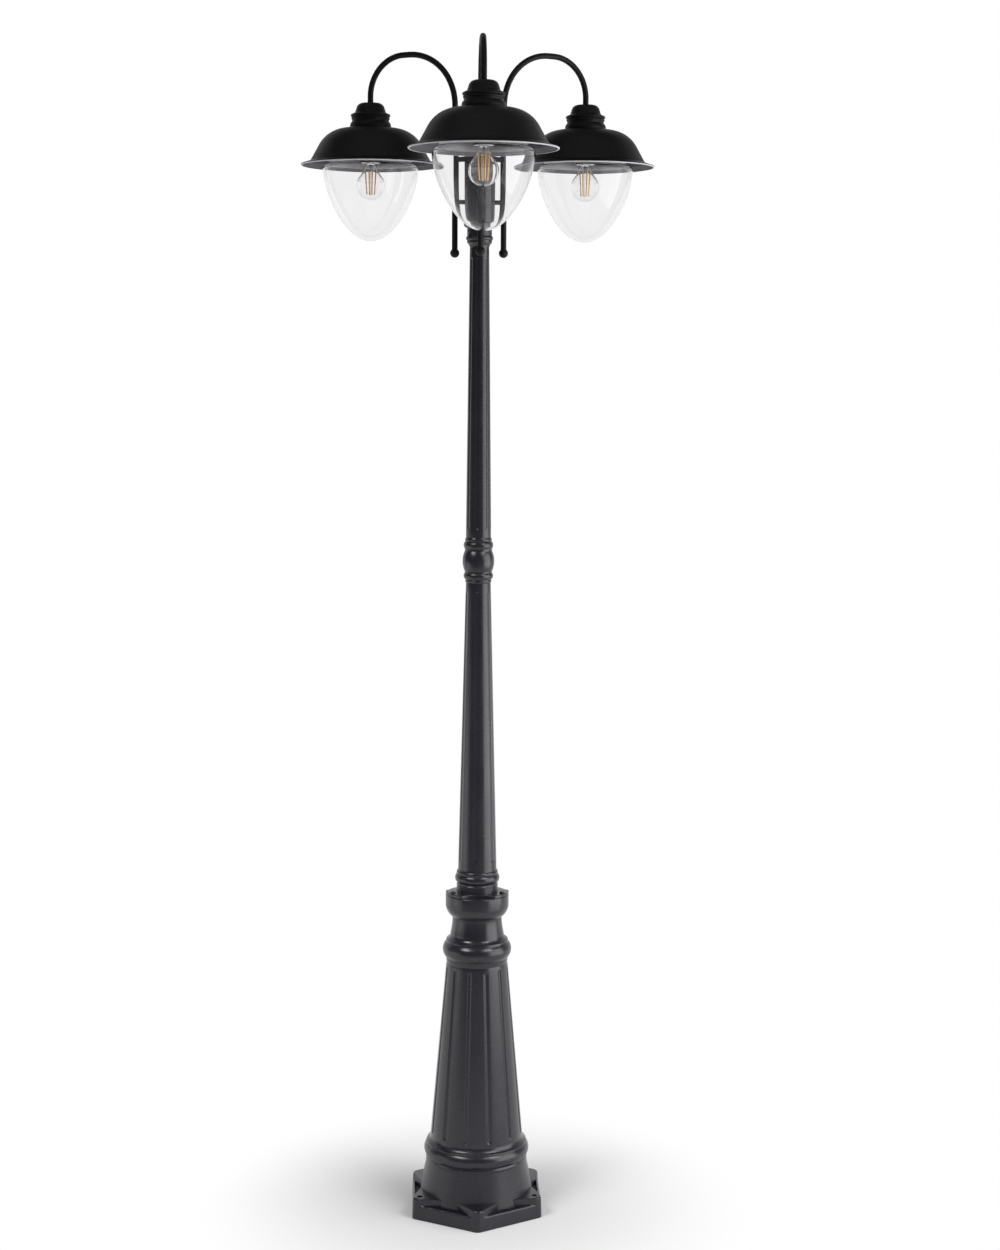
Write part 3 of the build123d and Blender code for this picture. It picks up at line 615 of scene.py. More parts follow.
def placed(tree, name, maker, values):
    """Puts a node group, made the first time, into a material with its own values."""
    made = tree.nodes.new("ShaderNodeGroup")
    made.node_tree = bpy.data.node_groups.get(name) or maker()
    for key, value in values.items():
        made.inputs[key].default_value = value
    return made.outputs


def bumped(tree, shader, height, strength, distance):
    """Feeds a height through a Bump node into a shader's normal."""
    bump = node(tree, "Bump", {"Height": height, "Strength": strength, "Distance": distance})
    tree.links.new(bump.outputs["Normal"], shader.inputs["Normal"])


def coated(name, colour, rough, pebble, relief, spread=0.15, cloud=14.0, level=0.5):
    """Powder-coated or moulded surface."""
    found, tree, shader = new_material(name, {"Specular IOR Level": level})
    coat = placed(tree, "Powder coat", coat_group, {
        "Colour": (*colour, 1), "Tone spread": spread, "Cloud scale": cloud, "Pebble scale": pebble,
        "Rough low": rough[0], "Rough high": rough[1]})
    linked(tree, {"Base Color": coat["Color"], "Roughness": coat["Roughness"]}, shader.inputs)
    bumped(tree, shader, coat["Height"], 0.35, relief)
    return found


def ringed(name, colour, ring, height, fade):
    """Glazed body whose lowest ring is bare and pale, up to a height."""
    found = coated(name, colour, (0.18, 0.30), pebble=300.0, relief=0.00004, spread=0.08, cloud=60.0)
    tree = found.node_tree
    shader = tree.nodes["Principled BSDF"]
    glaze = shader.inputs["Base Color"].links[0].from_socket
    place = node(tree, "TexCoord").outputs["Object"]
    rise = node(tree, "SeparateXYZ", {0: place}).outputs["Z"]
    above = remapped(tree, rise, height - fade, height + fade)
    mixed = node(tree, "Mix", {0: above, 6: (*ring, 1), 7: glaze}, data_type="RGBA")
    tree.links.new(mixed.outputs[2], shader.inputs["Base Color"])
    return found


def metallic(name, colour, rough):
    """Bare or plated metal."""
    found, tree, shader = new_material(name, {"Metallic": 1.0})
    metal = placed(tree, "Turned metal", metal_group, {
        "Colour": (*colour, 1), "Tarnish": 0.25, "Ring scale": 1500.0, "Rough low": rough[0],
        "Rough high": rough[1]})
    linked(tree, {"Base Color": metal["Color"], "Roughness": metal["Roughness"]}, shader.inputs)
    bumped(tree, shader, metal["Height"], 0.3, 0.00004)
    return found


def clear(name, ior, haze, ripple, relief, colour=(1, 1, 1), gloss=1.0):
    """Clear glass or acrylic. haze gives the least and the most roughness."""
    found, tree, shader = new_material(name, {
        "Specular Tint": (gloss, gloss, gloss, 1), "Base Color": (*colour, 1), "Transmission Weight": 1.0,
        "IOR": ior})
    film = placed(tree, "Glass haze", haze_group, {
        "Clear": haze[0], "Hazy": haze[1], "Ripple scale": ripple})
    linked(tree, {"Roughness": film["Roughness"]}, shader.inputs)
    bumped(tree, shader, film["Height"], 0.2, relief)
    return found


def filament_coating(name, colour):
    """Phosphor-coated stick: grainy amber that lets a little light through."""
    found = coated(name, colour, (0.35, 0.5), pebble=2600.0, relief=0.00006, spread=0.25, cloud=300.0)
    shader = found.node_tree.nodes["Principled BSDF"]
    shader.inputs["Subsurface Weight"].default_value = 0.15
    shader.inputs["Subsurface Radius"].default_value = (0.002, 0.001, 0.0004)
    return found


def finish_of(name):
    """The material of a finish, made the first time it is asked for."""
    found = bpy.data.materials.get(name)
    if found:
        return found
    colour = bpy.context.scene.lamp_finishes
    bare_ring = 0.0022
    makers = {
        "post_satin": lambda: coated(name, colour.post, (0.23, 0.31), pebble=850.0, relief=0.00007),
        "black_matt": lambda: coated(
            name, colour.black, (0.46, 0.58), pebble=1500.0, relief=0.00009, spread=0.3, level=0.2),
        "inside_paint": lambda: coated(
            name, colour.inside, (0.66, 0.76), pebble=900.0, relief=0.00006, spread=0.06, level=0.2),
        # Pale paint on the rolled rim: a painted highlight.
        "painted_rim_highlight": lambda: coated(
            name, colour.rim, (0.30, 0.42), pebble=1500.0, relief=0.00004, spread=0.1),
        "holder_glaze": lambda: ringed(
            name, colour.holder, colour.ceramic, height=low("lampholder_1")[2] + bare_ring, fade=0.0006),
        "rubber": lambda: coated(
            name, colour.rubber, (0.6, 0.75), pebble=1200.0, relief=0.00005, spread=0.2),
        "sheath": lambda: coated(
            name, colour.sheath, (0.45, 0.6), pebble=700.0, relief=0.00005, spread=0.2),
        "terminal": lambda: coated(
            name, colour.terminal, (0.35, 0.5), pebble=800.0, relief=0.00004, spread=0.06),
        "bolt_black": lambda: coated(
            name, colour.bolt, (0.28, 0.42), pebble=1800.0, relief=0.00004, spread=0.3),
        "nickel": lambda: metallic(name, colour.nickel, (0.16, 0.30)),
        "zinc_plate": lambda: metallic(name, colour.steel, (0.28, 0.45)),
        "brass": lambda: metallic(name, colour.brass, (0.22, 0.38)),
        "amber": lambda: filament_coating(name, colour.amber),
        "bowl_clear": lambda: clear(
            name, 1.49, (0.0, 0.02), ripple=26.0, relief=0.00003, colour=(0.945, 0.945, 0.95), gloss=0.4),
        "bowl_frost": lambda: clear(
            name, 1.49, (0.5, 0.6), ripple=26.0, relief=0.00003, colour=(0.80, 0.80, 0.83)),
        "globe_glass": lambda: clear(name, 1.5, (0.0, 0.012), ripple=40.0, relief=0.00002),
    }
    return makers[name]()


# Operators, one for each piece or group of like pieces

class LAMPPOST_OT_pedestal(Operator):
    """Cast pedestal: six-sided foot with raised corner pads, and a grooved column with mouldings"""
    bl_idname = "lamppost.pedestal"
    bl_label = "Pedestal"

    def execute(self, context):
        size = context.scene.lamp_pedestal
        paint = [finish_of("post_satin")]
        made = piece("pedestal_casting", [self.foot(size)], paint, replaces=["pedestal"])
        centre = size.anchor_circle / 2
        depth = size.pad_height / 2
        drill = rod(size.anchor_hole / 2, -depth, 3 * depth)
        drilled(made, [turned(drill, (centre * np.cos(a), centre * np.sin(a)), 40) for a in LOBES])
        column = self.column(size, context.scene.lamp_masts.spigot_radius)
        piece("pedestal_column", [column], paint)
        return {"FINISHED"}

    @staticmethod
    def column(size, spigot):
        """Grooved column: up the skirt, ring, shaft, collar bead, neck and cup, then down the inside."""
        deck = high("pedestal")[2]
        shaft = size.skirt_height + size.ring_height
        collar = shaft + size.shaft_height
        waist = collar + size.neck_height
        wall = size.wall
        hidden = 0.002
        clearance = 0.0001
        cup_floor = 0.009
        cup_rise = 0.0285
        waist_band = 0.0050
        waist_flare = 0.0040
        cove_gap = 0.005
        step = 0.0004
        hole = spigot + clearance
        floor = deck - cup_floor
        ends = (shaft + size.groove_gap, collar - size.groove_top_gap)
        base, top = (size.shaft_radius, shaft), (size.shaft_top, collar)
        rows = cone_rows(base, top, ends, size.groove_width)
        cove_top = ends[0] - cove_gap
        cove_radius = np.interp(cove_top, [base[1], top[1]], [base[0], top[0]])
        ring_foot = size.skirt_top + 0.0010
        ring_root = size.skirt_top - step
        ring_step = size.skirt_top - 2 * step

        def ring(share):
            return size.skirt_height + share * size.ring_height

        def neck(share):
            return collar + share * size.neck_height

        path = outline(
            (size.skirt_radius - wall, hidden), (size.skirt_radius, hidden),
            (size.skirt_top, ring(0.10), 0.0008), (ring_foot, ring(0.13), 0.0006),
            (ring_foot, ring(0.19), 0.0006), (ring_root, ring(0.28), step),
            (ring_root, ring(0.88), step, size.ring_proud), (ring_step, ring(0.90), step / 2),
            (ring_step - 0.0006, ring(0.98), 0.0008, 0.0007), (cove_radius, cove_top, 0, -0.0022), *rows,
            (*top, 0.0015), (size.shaft_top - 0.0012, neck(0.05), 0.0012),
            (size.shaft_top, neck(0.09), 0.0010), (size.shaft_top + step, neck(0.16), 0.0006),
            (size.shaft_top + 2 * step, neck(0.50), 0.0005, size.collar_radius - size.shaft_top),
            (size.shaft_top + step / 2, neck(0.515), step), (size.shaft_top - step / 2, neck(0.55), 0.0010),
            (size.waist_radius + waist_flare, neck(0.69), 0.0010, -0.0024),
            (size.waist_radius, waist, 0.0006, -0.0007), (size.waist_radius, waist + waist_band, step),
            (size.cup_radius, waist + cup_rise, step, 0.0030), (size.cup_radius, deck, size.cup_edge),
            (hole, deck, 0.0005), (hole, floor), (size.cup_radius - wall, floor),
            (size.cup_radius - wall, waist + cup_rise), (size.waist_radius - wall, waist),
            (size.waist_radius - wall, neck(0.8)), (size.shaft_top - wall, collar),
            (size.shaft_radius - wall, shaft), (size.skirt_top - wall, size.skirt_height))
        first = TURN / size.groove_count / 2
        return fluted(path, size.groove_count, first, size.groove_width, size.groove_depth, ends)

    @staticmethod
    def foot(size):
        """Foot on a polar grid, a corner's sector at a time.

        Rows run from inside the column over the top, round the edge, down the drafted side and back
        underneath. Columns keep to the edges of the pads. The top stands at the trough, rises to the lip near
        the outline and to the pads within their wedges.
        """
        half_side = math.radians(30)
        apothem = size.foot_flats / 2
        draft = math.tan(size.foot_draft)
        edge = size.foot_edge
        sharp = apothem / math.cos(half_side)
        round_centre = sharp - size.foot_corner / math.cos(half_side)
        tangent = math.atan2(
            size.foot_corner * math.sin(half_side), round_centre + size.foot_corner * math.cos(half_side))

        def reach(angle):
            """Distance to the rounded hexagon at an angle from a corner."""
            flat = apothem / np.cos(half_side - angle)
            inside = np.maximum(size.foot_corner ** 2 - (round_centre * np.sin(angle)) ** 2, 0)
            return np.where(angle < tangent, round_centre * np.cos(angle) + np.sqrt(inside), flat)

        level_rows = np.array([0.038, 0.030, 0.022, 0.016, 0.012, 0.0095])
        lip_rows = np.linspace(size.lip_width + 0.0022, size.lip_width - 0.0012, 8)
        under_rows = np.array([0.008, 0.020])
        quarter = np.linspace(0, math.pi / 2, 8)
        bevel = 0.0012
        bevel_share = np.linspace(0, 1, 4)
        inset = np.concatenate([
            level_rows, lip_rows, edge * (1 - np.sin(quarter)), bevel * bevel_share, under_rows])[:, None]
        drop = np.concatenate([np.zeros(len(level_rows) + len(lip_rows)), edge * (1 - np.cos(quarter))])
        top_rows = len(drop)
        wide = (apothem - draft * size.pad_height - inset) / apothem
        narrowing = (size.pad_root - size.pad_tip) / 2 / (sharp - size.pad_start)

        def outside_wedge(angle):
            """How far a row's point at an angle from the corner lies outside its pad's wedge."""
            radius = reach(angle) * wide
            half = size.pad_root / 2 - narrowing * (radius * np.cos(angle) - size.pad_start)
            return radius * np.sin(angle) - half

        near, far = np.zeros_like(inset), np.full_like(inset, half_side)
        for _ in range(40):
            guess = (near + far) / 2
            out = outside_wedge(guess) > 0
            near, far = np.where(out, near, guess), np.where(out, guess, far)
        most = 0.45
        slope = size.pad_slope / 2 / (reach(guess) * wide)
        slope = np.minimum(slope, most * np.minimum(guess, half_side - guess))
        flat_columns = 6
        share = np.linspace(0, 1, 11)
        angle = np.hstack([
            np.linspace(0, 1, flat_columns, endpoint=False) * (guess - slope),
            guess - slope + share * 2 * slope,
            guess + slope + np.linspace(0, 1, flat_columns + 1)[1:] * (half_side - guess - slope)])
        pad = np.concatenate([np.ones(flat_columns), 1 - smooth_step(share), np.zeros(flat_columns)])
        lip_foot = size.lip_width + 0.001
        lip_run = 0.0024
        lip = smooth_step((lip_foot - inset) / lip_run)
        ground = size.trough_height + (size.rim_height - size.trough_height) * lip
        top = ground + (size.pad_height - ground) * pad
        side = np.concatenate([bevel * (1 - bevel_share), np.zeros(len(under_rows))])[:, None]
        height = np.vstack([top[:top_rows] - drop[:, None], side + 0 * angle[top_rows:]])
        scale = (apothem - draft * height - inset) / apothem
        radius = reach(angle) * scale

        def both_sides(part, sign=1):
            """A corner's whole sector from its half."""
            return np.hstack([sign * part[:, :0:-1], part[:, :-1]])

        corners = np.radians(np.arange(30, 390, 60))
        whole = np.hstack([corner + both_sides(angle, -1) for corner in corners])
        radius, height = (np.hstack([both_sides(part)] * len(corners)) for part in (radius, height))
        return polar(radius, whole, height), True, True


class LAMPPOST_OT_masts(Operator):
    """Fluted lower mast with its bolting flange, turned coupling and fluted upper mast"""
    bl_idname = "lamppost.masts"
    bl_label = "Masts and coupling"

    def execute(self, context):
        size = context.scene.lamp_masts
        flange = self.flange(size, context.scene.lamp_pedestal.cup_radius)
        coupling = turned(self.coupling(size), segments=128)
        for name, grids, node_name in (
                ("lower_mast_casting", [self.lower(size), flange], "lower_mast"),
                ("coupling_knop", [coupling], "mast_coupling"),
                ("upper_mast_casting", [self.upper(size)], "upper_mast")):
            piece(name, grids, [finish_of("post_satin")], replaces=[node_name])
        return {"FINISHED"}

    @staticmethod
    def lower(size):
        """Lower mast: spigot, machined foot with turning marks, bead and fluted cone."""
        bottom, top = low("lower_mast")[2], high("lower_mast")[2]
        deck = high("pedestal")[2]
        flange = deck + size.flange_thickness
        foot = flange + size.foot_height
        mark_count, mark_steps, mark_start = 10, 61, 0.0015
        bead = size.foot_radius - 0.0006
        ends = (foot + size.flute_gap, top - size.flute_gap)
        base, crown = (size.lower_radius, foot), (size.lower_top, top)
        rows = cone_rows(base, crown, ends, size.lower_width)

        def at(share):
            return flange + share * size.foot_height

        marks = np.linspace(flange + mark_start, at(0.29), mark_steps)
        cut = size.tool_mark * (0.5 - 0.5 * np.cos(np.linspace(0, mark_count * TURN, mark_steps)))
        path = outline(
            (size.spigot_radius - size.wall, bottom), (size.spigot_radius, bottom),
            (size.spigot_radius, deck), (size.foot_radius, deck), *zip(size.foot_radius - cut, marks),
            (size.foot_radius, at(0.31), 0.0006), (bead, at(0.33), 0.0005), (bead, at(0.38), 0.0005),
            (bead, at(0.77), 0.0006, size.bead_proud),
            (size.lower_radius + 0.0005, at(0.94), 0.0005, 0.4 * size.bead_proud), (*base, 0.002), *rows,
            (*crown, 0.0004), (size.lower_top - size.wall, top), (size.lower_radius - size.wall, foot))
        first = -TURN / 4 + size.lower_turn
        return fluted(path, size.lower_flutes, first, size.lower_width, size.lower_depth, ends, 22, 20)

    @staticmethod
    def flange(size, rim):
        """Three-lobed plate: the cup's rim less three round bites, -s log(exp(-rim / s) + exp(-bite / s))."""
        angle = np.linspace(0, TURN, 480, endpoint=False)
        bite = np.full(len(angle), 1.0)
        for direction in BITES:
            turn = angle - direction
            inside = size.flange_scallop ** 2 - (size.scallop_offset * np.sin(turn)) ** 2
            hit = size.scallop_offset * np.cos(turn) - np.sqrt(np.maximum(inside, 0))
            bite = np.where((inside > 0) & (np.cos(turn) > 0), np.minimum(bite, hit), bite)
        soft = size.lobe_round
        reach = -soft * np.log(np.exp(-rim / soft) + np.exp(-bite / soft))
        edge = size.flange_edge
        hidden = size.foot_radius - 0.004
        quarter = np.linspace(0, math.pi / 2, 6)[:, None]
        share = np.linspace(0, 1, 6)[:-1, None]
        radius = np.vstack([
            hidden + share * (reach - edge - hidden), reach - edge * (1 - np.sin(quarter)), reach,
            hidden + 0 * reach])
        height = size.flange_thickness - np.vstack([
            0 * share, edge * (1 - np.cos(quarter)), [[size.flange_thickness], [size.flange_thickness]]])
        return polar(radius, angle, high("pedestal")[2] + height), True, True

    @staticmethod
    def coupling(size):
        """Turned knop: lips, two beads with fillets and a ball between them."""
        bottom, top = low("mast_coupling")[2], high("mast_coupling")[2]
        neck = size.lower_top + size.neck_proud
        ball = half_width("mast_coupling") - neck
        bore = size.lower_top - size.wall
        lip = 0.001

        def at(share):
            return bottom + share * (top - bottom)

        return outline(
            (bore, at(0)), (size.lower_top, at(0), 0.0003), (size.lower_top + lip, at(0.06), 0.0005, lip),
            (size.lower_top + lip, at(0.075), 0.0006), (neck, at(0.085), 0.0005),
            (neck, at(0.22), 0.0006, size.coupling_bead), (neck, at(0.25), 0.0008),
            (neck, at(0.70), 0.0008, ball), (neck, at(0.75), 0.0008),
            (neck, at(0.90), 0.0006, size.coupling_bead), (size.upper_radius + lip, at(0.915), 0.0006),
            (size.upper_radius + lip / 2, at(0.98), 0.0005, lip),
            (size.upper_radius, at(1), 0.0003), (bore, at(1)))

    @staticmethod
    def upper(size):
        """Upper mast: fluted cone under a flared capital with a bead."""
        bottom, top = low("upper_mast")[2], high("upper_mast")[2]
        capital = top - size.capital_height
        bead = half_width("upper_mast") - size.capital_bead
        ends = (bottom + size.flute_gap, capital - size.flute_gap)
        base, crown = (size.upper_radius, bottom), (size.upper_top, capital)
        rows = cone_rows(base, crown, ends, size.upper_width)

        def at(share):
            return capital + share * size.capital_height

        path = outline(
            (size.upper_radius - size.wall, bottom), (*base, 0.0004), *rows, (*crown, 0.001),
            (size.upper_top, at(0.1), 0.001), (bead, at(0.48), 0.0008, -0.0015), (bead, at(0.66), 0.0008),
            (bead, at(1), 0.0005, size.capital_bead), (size.upper_top - size.wall, at(1)),
            (size.upper_top - size.wall, capital))
        first = -TURN / 4 + size.upper_turn
        return fluted(path, size.upper_flutes, first, size.upper_width, size.upper_depth, ends, 18, 12)


class LAMPPOST_OT_bolts(Operator):
    """Blackened hex bolts with a pressed flange, on the lobes of the lower mast"""
    bl_idname = "lamppost.bolts"
    bl_label = "Flange bolts"

    def execute(self, context):
        size = context.scene.lamp_masts
        floor = high("pedestal")[2] + size.flange_thickness
        top = high("flange_bolts")[2]
        centre = high("flange_bolts")[1] - size.bolt_flats / 2
        grids = [
            self.bolt(size, (centre * np.cos(direction), centre * np.sin(direction)), floor, top)
            for direction in LOBES]
        piece("flange_bolt_heads", grids, [finish_of("bolt_black")], replaces=["flange_bolts"],
              sharp=28)
        return {"FINISHED"}

    @staticmethod
    def bolt(size, axis, floor, top):
        """Hex head: six flats, r = half width / cos(angle from the flat), chamfered by a cone at the top."""
        angle = np.linspace(0, TURN, 96, endpoint=False)
        half_side = math.radians(30)
        flat = (angle + half_side) % (2 * half_side) - half_side
        half = size.bolt_flats / 2
        hexagon = half / np.cos(flat)
        crown = 0.93 * half
        chamfer = (hexagon - crown) * math.tan(half_side)
        washer = 0.0009
        fillet = 0.0003
        dish = 0.0003
        rows = (
            (0, floor), (size.bolt_flange, floor), (size.bolt_flange, floor + 0.7 * washer),
            (hexagon + fillet, floor + washer), (hexagon, floor + 1.3 * washer), (hexagon, top - chamfer),
            (crown, top), (0.6 * crown, top), (0.55 * crown, top - dish), (0, top - dish))
        radius, height = (np.array([row[place] + 0 * angle for row in rows]) for place in (0, 1))
        return polar(radius, angle, height, axis), True, True


class LAMPPOST_OT_arms(Operator):
    """Gooseneck arms with welded stubs to the hub"""
    bl_idname = "lamppost.arms"
    bl_label = "Arms"

    def execute(self, context):
        size = context.scene.lamp_arms
        hub = half_width("arm_hub")
        hub_floor = low("arm_hub")[2]
        sunk = 0.1 * hub
        stub_start = 0.9 * hub
        for number in LAMPS:
            lamp = lamp_axis(number)
            near, far = np.hypot(*middle(f"ball_finial_{number}")[:2]), np.hypot(*lamp)
            outward = np.array([*lamp, 0.0]) / far
            side = np.array([-outward[1], outward[0], 0.0])
            run, rise = self.bends(size, number, near, far)
            path = outward * run[:, None] + np.array([0, 0, 1.0]) * rise[:, None]
            grids = [tube(path, size.radius, side, 40)]
            for height in (size.lower_stub, size.upper_stub):
                start = outward * stub_start + np.array([0, 0, hub_floor + height])
                grids.append(lathe_along(self.stub(size, sunk, near - stub_start), start, outward))
            piece(f"gooseneck_{number}", grids, [finish_of("black_matt")], replaces=[f"arm_{number}"])
        return {"FINISHED"}

    @staticmethod
    def bends(size, number, near, far):
        """Run and rise of an arm: up the rod, over two quarter circles and down to the nut in the lamp."""
        bottom, top = low(f"arm_{number}")[2], high(f"arm_{number}")[2]
        end = high(f"lampholder_{number}")[2] - 0.011
        crown = top - size.radius
        lead = 0.01
        straight = (crown + high(f"lampholder_{number}")[2]) / 2
        up, down = np.linspace(math.pi, math.pi / 2, 33), np.linspace(math.pi / 2, 0, 29)
        run = np.concatenate([
            [near, near, near], near + size.near_bend * (1 + np.cos(up)),
            far - size.far_bend * (1 - np.cos(down)), [far, far]])
        rise = np.concatenate([
            [bottom, bottom + lead, (bottom + crown) / 2], crown - size.near_bend * (1 - np.sin(up)),
            crown - size.far_bend * (1 - np.sin(down)), [straight, end]])
        return run, rise

    @staticmethod
    def stub(size, hub_face, rod_axis):
        """Stub with a weld fillet where it meets the hub and the rod, as (r, distance along it)."""
        rod_face = rod_axis - math.sqrt(size.radius ** 2 - size.stub_radius ** 2)
        weld = size.weld
        bead_end = hub_face + 0.0008
        rod_weld = size.stub_radius + 0.4 * weld
        return outline(
            (0, 0), (size.stub_radius + weld, 0), (size.stub_radius + weld, bead_end, 0.0006),
            (size.stub_radius, bead_end + weld, 0, -0.3 * weld), (size.stub_radius, rod_face - weld),
            (rod_weld, rod_face, 0, -0.2 * weld), (rod_weld, rod_axis), (0, rod_axis))


class LAMPPOST_OT_lamp_caps(Operator):
    """Ribbed caps over the shades"""
    bl_idname = "lamppost.lamp_caps"
    bl_label = "Lamp caps"

    def execute(self, context):
        size = context.scene.lamp_lamps
        arm = context.scene.lamp_arms.radius
        for number in LAMPS:
            node_name = f"lamp_cap_{number}"
            path = self.cap(size, arm, low(node_name)[2], high(node_name)[2])
            piece(f"ribbed_cap_{number}", [turned(path, lamp_axis(number), 112)], [finish_of("black_matt")],
                  replaces=[node_name])
        return {"FINISHED"}

    @staticmethod
    def cap(size, arm, bottom, top):
        """Up the lower bead, the waist, two upper beads and the crown, then down the hollow inside."""
        wall = size.cap_wall
        clearance = 0.0003
        hole = arm + clearance

        def at(share):
            return bottom + share * (top - bottom)

        return outline(
            (size.cap_foot - wall, at(0)), (size.cap_foot - 0.0008, at(0), 0.0004),
            (size.cap_foot - 0.0010, at(0.20), 0.0010, 0.0010), (size.cap_waist, at(0.28), 0.0025),
            (size.cap_waist + 0.0006, at(0.345), 0.0008), (size.cap_bead - 0.0022, at(0.445), 0.0006, 0.0010),
            (size.cap_bead - 0.0024, at(0.458), 0.0003), (size.cap_bead - 0.0012, at(0.468), 0.0004),
            (size.cap_bead - 0.0016, at(0.56), 0.0008, 0.0013), (size.cap_neck + 0.001, at(0.615), 0.0015),
            (size.cap_neck - 0.0005, at(0.65), 0.002), (size.cap_neck - 0.003, at(0.80), 0.004),
            (size.cap_top - 0.001, top, 0.004, 0.0022), (hole, top, 0.0004), (hole, top - wall),
            (size.cap_top - 0.002, top - wall), (size.cap_neck - wall - 0.003, at(0.75)),
            (size.cap_neck - wall, at(0.58)), (size.cap_waist - wall, at(0.48)),
            (size.cap_waist - wall, at(0.2)))


class LAMPPOST_OT_shades(Operator):
    """Spun shades with a flared brim and a rolled rim, grey inside, with a painted highlight round the rim
    and painted shade in its inner curl
    """
    bl_idname = "lamppost.shades"
    bl_label = "Shades"

    def execute(self, context):
        size = context.scene.lamp_lamps
        arm = context.scene.lamp_arms.radius
        segments = 160
        for number in LAMPS:
            node_name = f"shade_{number}"
            path, finish = self.shade(size, arm, high(node_name)[2])
            piece(f"spun_shade_{number}", [turned(path, lamp_axis(number), segments)],
                  [finish_of("black_matt"), finish_of("inside_paint"), finish_of("painted_rim_highlight")],
                  replaces=[node_name], paint=np.repeat(finish, segments))
        return {"FINISHED"}

    @staticmethod
    def shade(size, arm, top):
        """Outline down the outside, round the rolled rim and up the inside, and each row's finish, with
        painted highlight and shade at the rim.
        """
        slope, turn, sheet = size.shade_slope, size.shade_shoulder, size.sheet
        shoulder = np.linspace(0, slope, 22)
        clearance = 0.0003
        hole = arm + clearance

        def side(offset):
            """Sheet surface set in by an offset: flat, shoulder arc, skirt to the brim."""
            radius = turn - offset
            arc_r = size.shade_flat + radius * np.sin(shoulder)
            arc_z = top - turn + radius * np.cos(shoulder)
            brim_z = top - size.shade_depth
            brim_r = arc_r[-1] + (arc_z[-1] - brim_z) / math.tan(slope)
            return arc_r, arc_z, brim_r, brim_z

        out_r, out_z, brim_r, brim_z = side(0)
        in_r, in_z, inner_brim, _ = side(sheet)
        fall = math.atan2(size.brim_drop, size.brim_width)
        rim = np.array([brim_r + size.brim_width, brim_z - size.brim_drop])
        wrap = math.pi / 2 + 0.9
        roll = np.linspace(wrap - fall, -wrap - fall, 26)
        bead = rim + size.rim_bead * np.stack([np.cos(roll), np.sin(roll)], -1)
        bend = 0.003
        thinning = 0.0004
        path = outline(
            (hole, top), *zip(out_r, out_z), (brim_r, brim_z, bend), *bead,
            (inner_brim - thinning, brim_z - sheet, bend), *zip(in_r[::-1], in_z[::-1]), (hole, top - sheet))
        # Rows round the bottom of the rolled rim take the pale paint, which is a painted highlight. The rows
        # just after them, inside the curl, stay black as painted shade, and then the grey inside begins.
        black, grey, pale = 0, 1, 2
        highlight_before, highlight_after, painted_shade_end = 9, 3, 6
        row = np.arange(len(path)) - np.argmin(path[:, 1])
        finish = np.where(row > painted_shade_end, grey, black)
        finish[(row > -highlight_before) & (row <= highlight_after)] = pale
        finish[-1] = black
        return path, finish


class LAMPPOST_OT_diffusers(Operator):
    """Clear bowls with a round shoulder and a ground neck"""
    bl_idname = "lamppost.diffusers"
    bl_label = "Clear bowls"

    def execute(self, context):
        size = context.scene.lamp_lamps
        segments = 256
        for number in LAMPS:
            node_name = f"diffuser_{number}"
            shade_top = high(f"shade_{number}")[2]
            path = self.bowl(size, low(node_name)[2], high(node_name)[2], shade_top, half_width(node_name))
            ledge = shade_top - size.bowl_shoulder_drop + size.bowl_shoulder
            neck = path[:, 1] > ledge - 1.1 * size.bowl_wall
            ground = neck & np.roll(neck, -1)
            made = piece(f"clear_bowl_{number}", [turned(path, lamp_axis(number), segments)],
                         [finish_of("bowl_clear"), finish_of("bowl_frost")], body=node_name,
                         replaces=[node_name], sharp=60,
                         paint=np.repeat(ground, segments))
            made.visible_shadow = False
        return {"FINISHED"}

    @staticmethod
    def bowl(size, tip, top, shade_top, radius):
        """Outside from the tip up a cubic curve to the shoulder and neck, then down the inside."""
        wall = size.bowl_wall
        shoulder = shade_top - size.bowl_shoulder_drop
        ledge = shoulder + size.bowl_shoulder
        edge = radius - size.bowl_shoulder
        neck_in = size.bowl_neck - wall

        def side(r, z):
            """Cubic curve from the tip, level at first, to the shoulder, upright at last."""
            share = np.linspace(0, 1, 64)[:, None]
            a, b = np.array([0, z]), np.array([size.bowl_tip_reach, z])
            c, d = np.array([r, shoulder - size.bowl_side_reach]), np.array([r, shoulder])
            rest = 1 - share
            return rest ** 3 * a + 3 * rest ** 2 * share * b + 3 * rest * share ** 2 * c + share ** 3 * d

        rise = 1 - math.sqrt(0.5)
        round_out = size.bowl_shoulder * rise
        round_in = (size.bowl_shoulder - wall) * rise
        return outline(
            *side(radius, tip), (edge, ledge, 0, round_out), (size.bowl_neck, ledge, 0.0012),
            (size.bowl_neck, top, 0.0006), (neck_in, top, 0.0006), (neck_in, ledge - wall, 0.0008),
            (edge, ledge - wall), (radius - wall, shoulder, 0, -round_in),
            *side(radius - wall, tip + wall)[-2::-1])


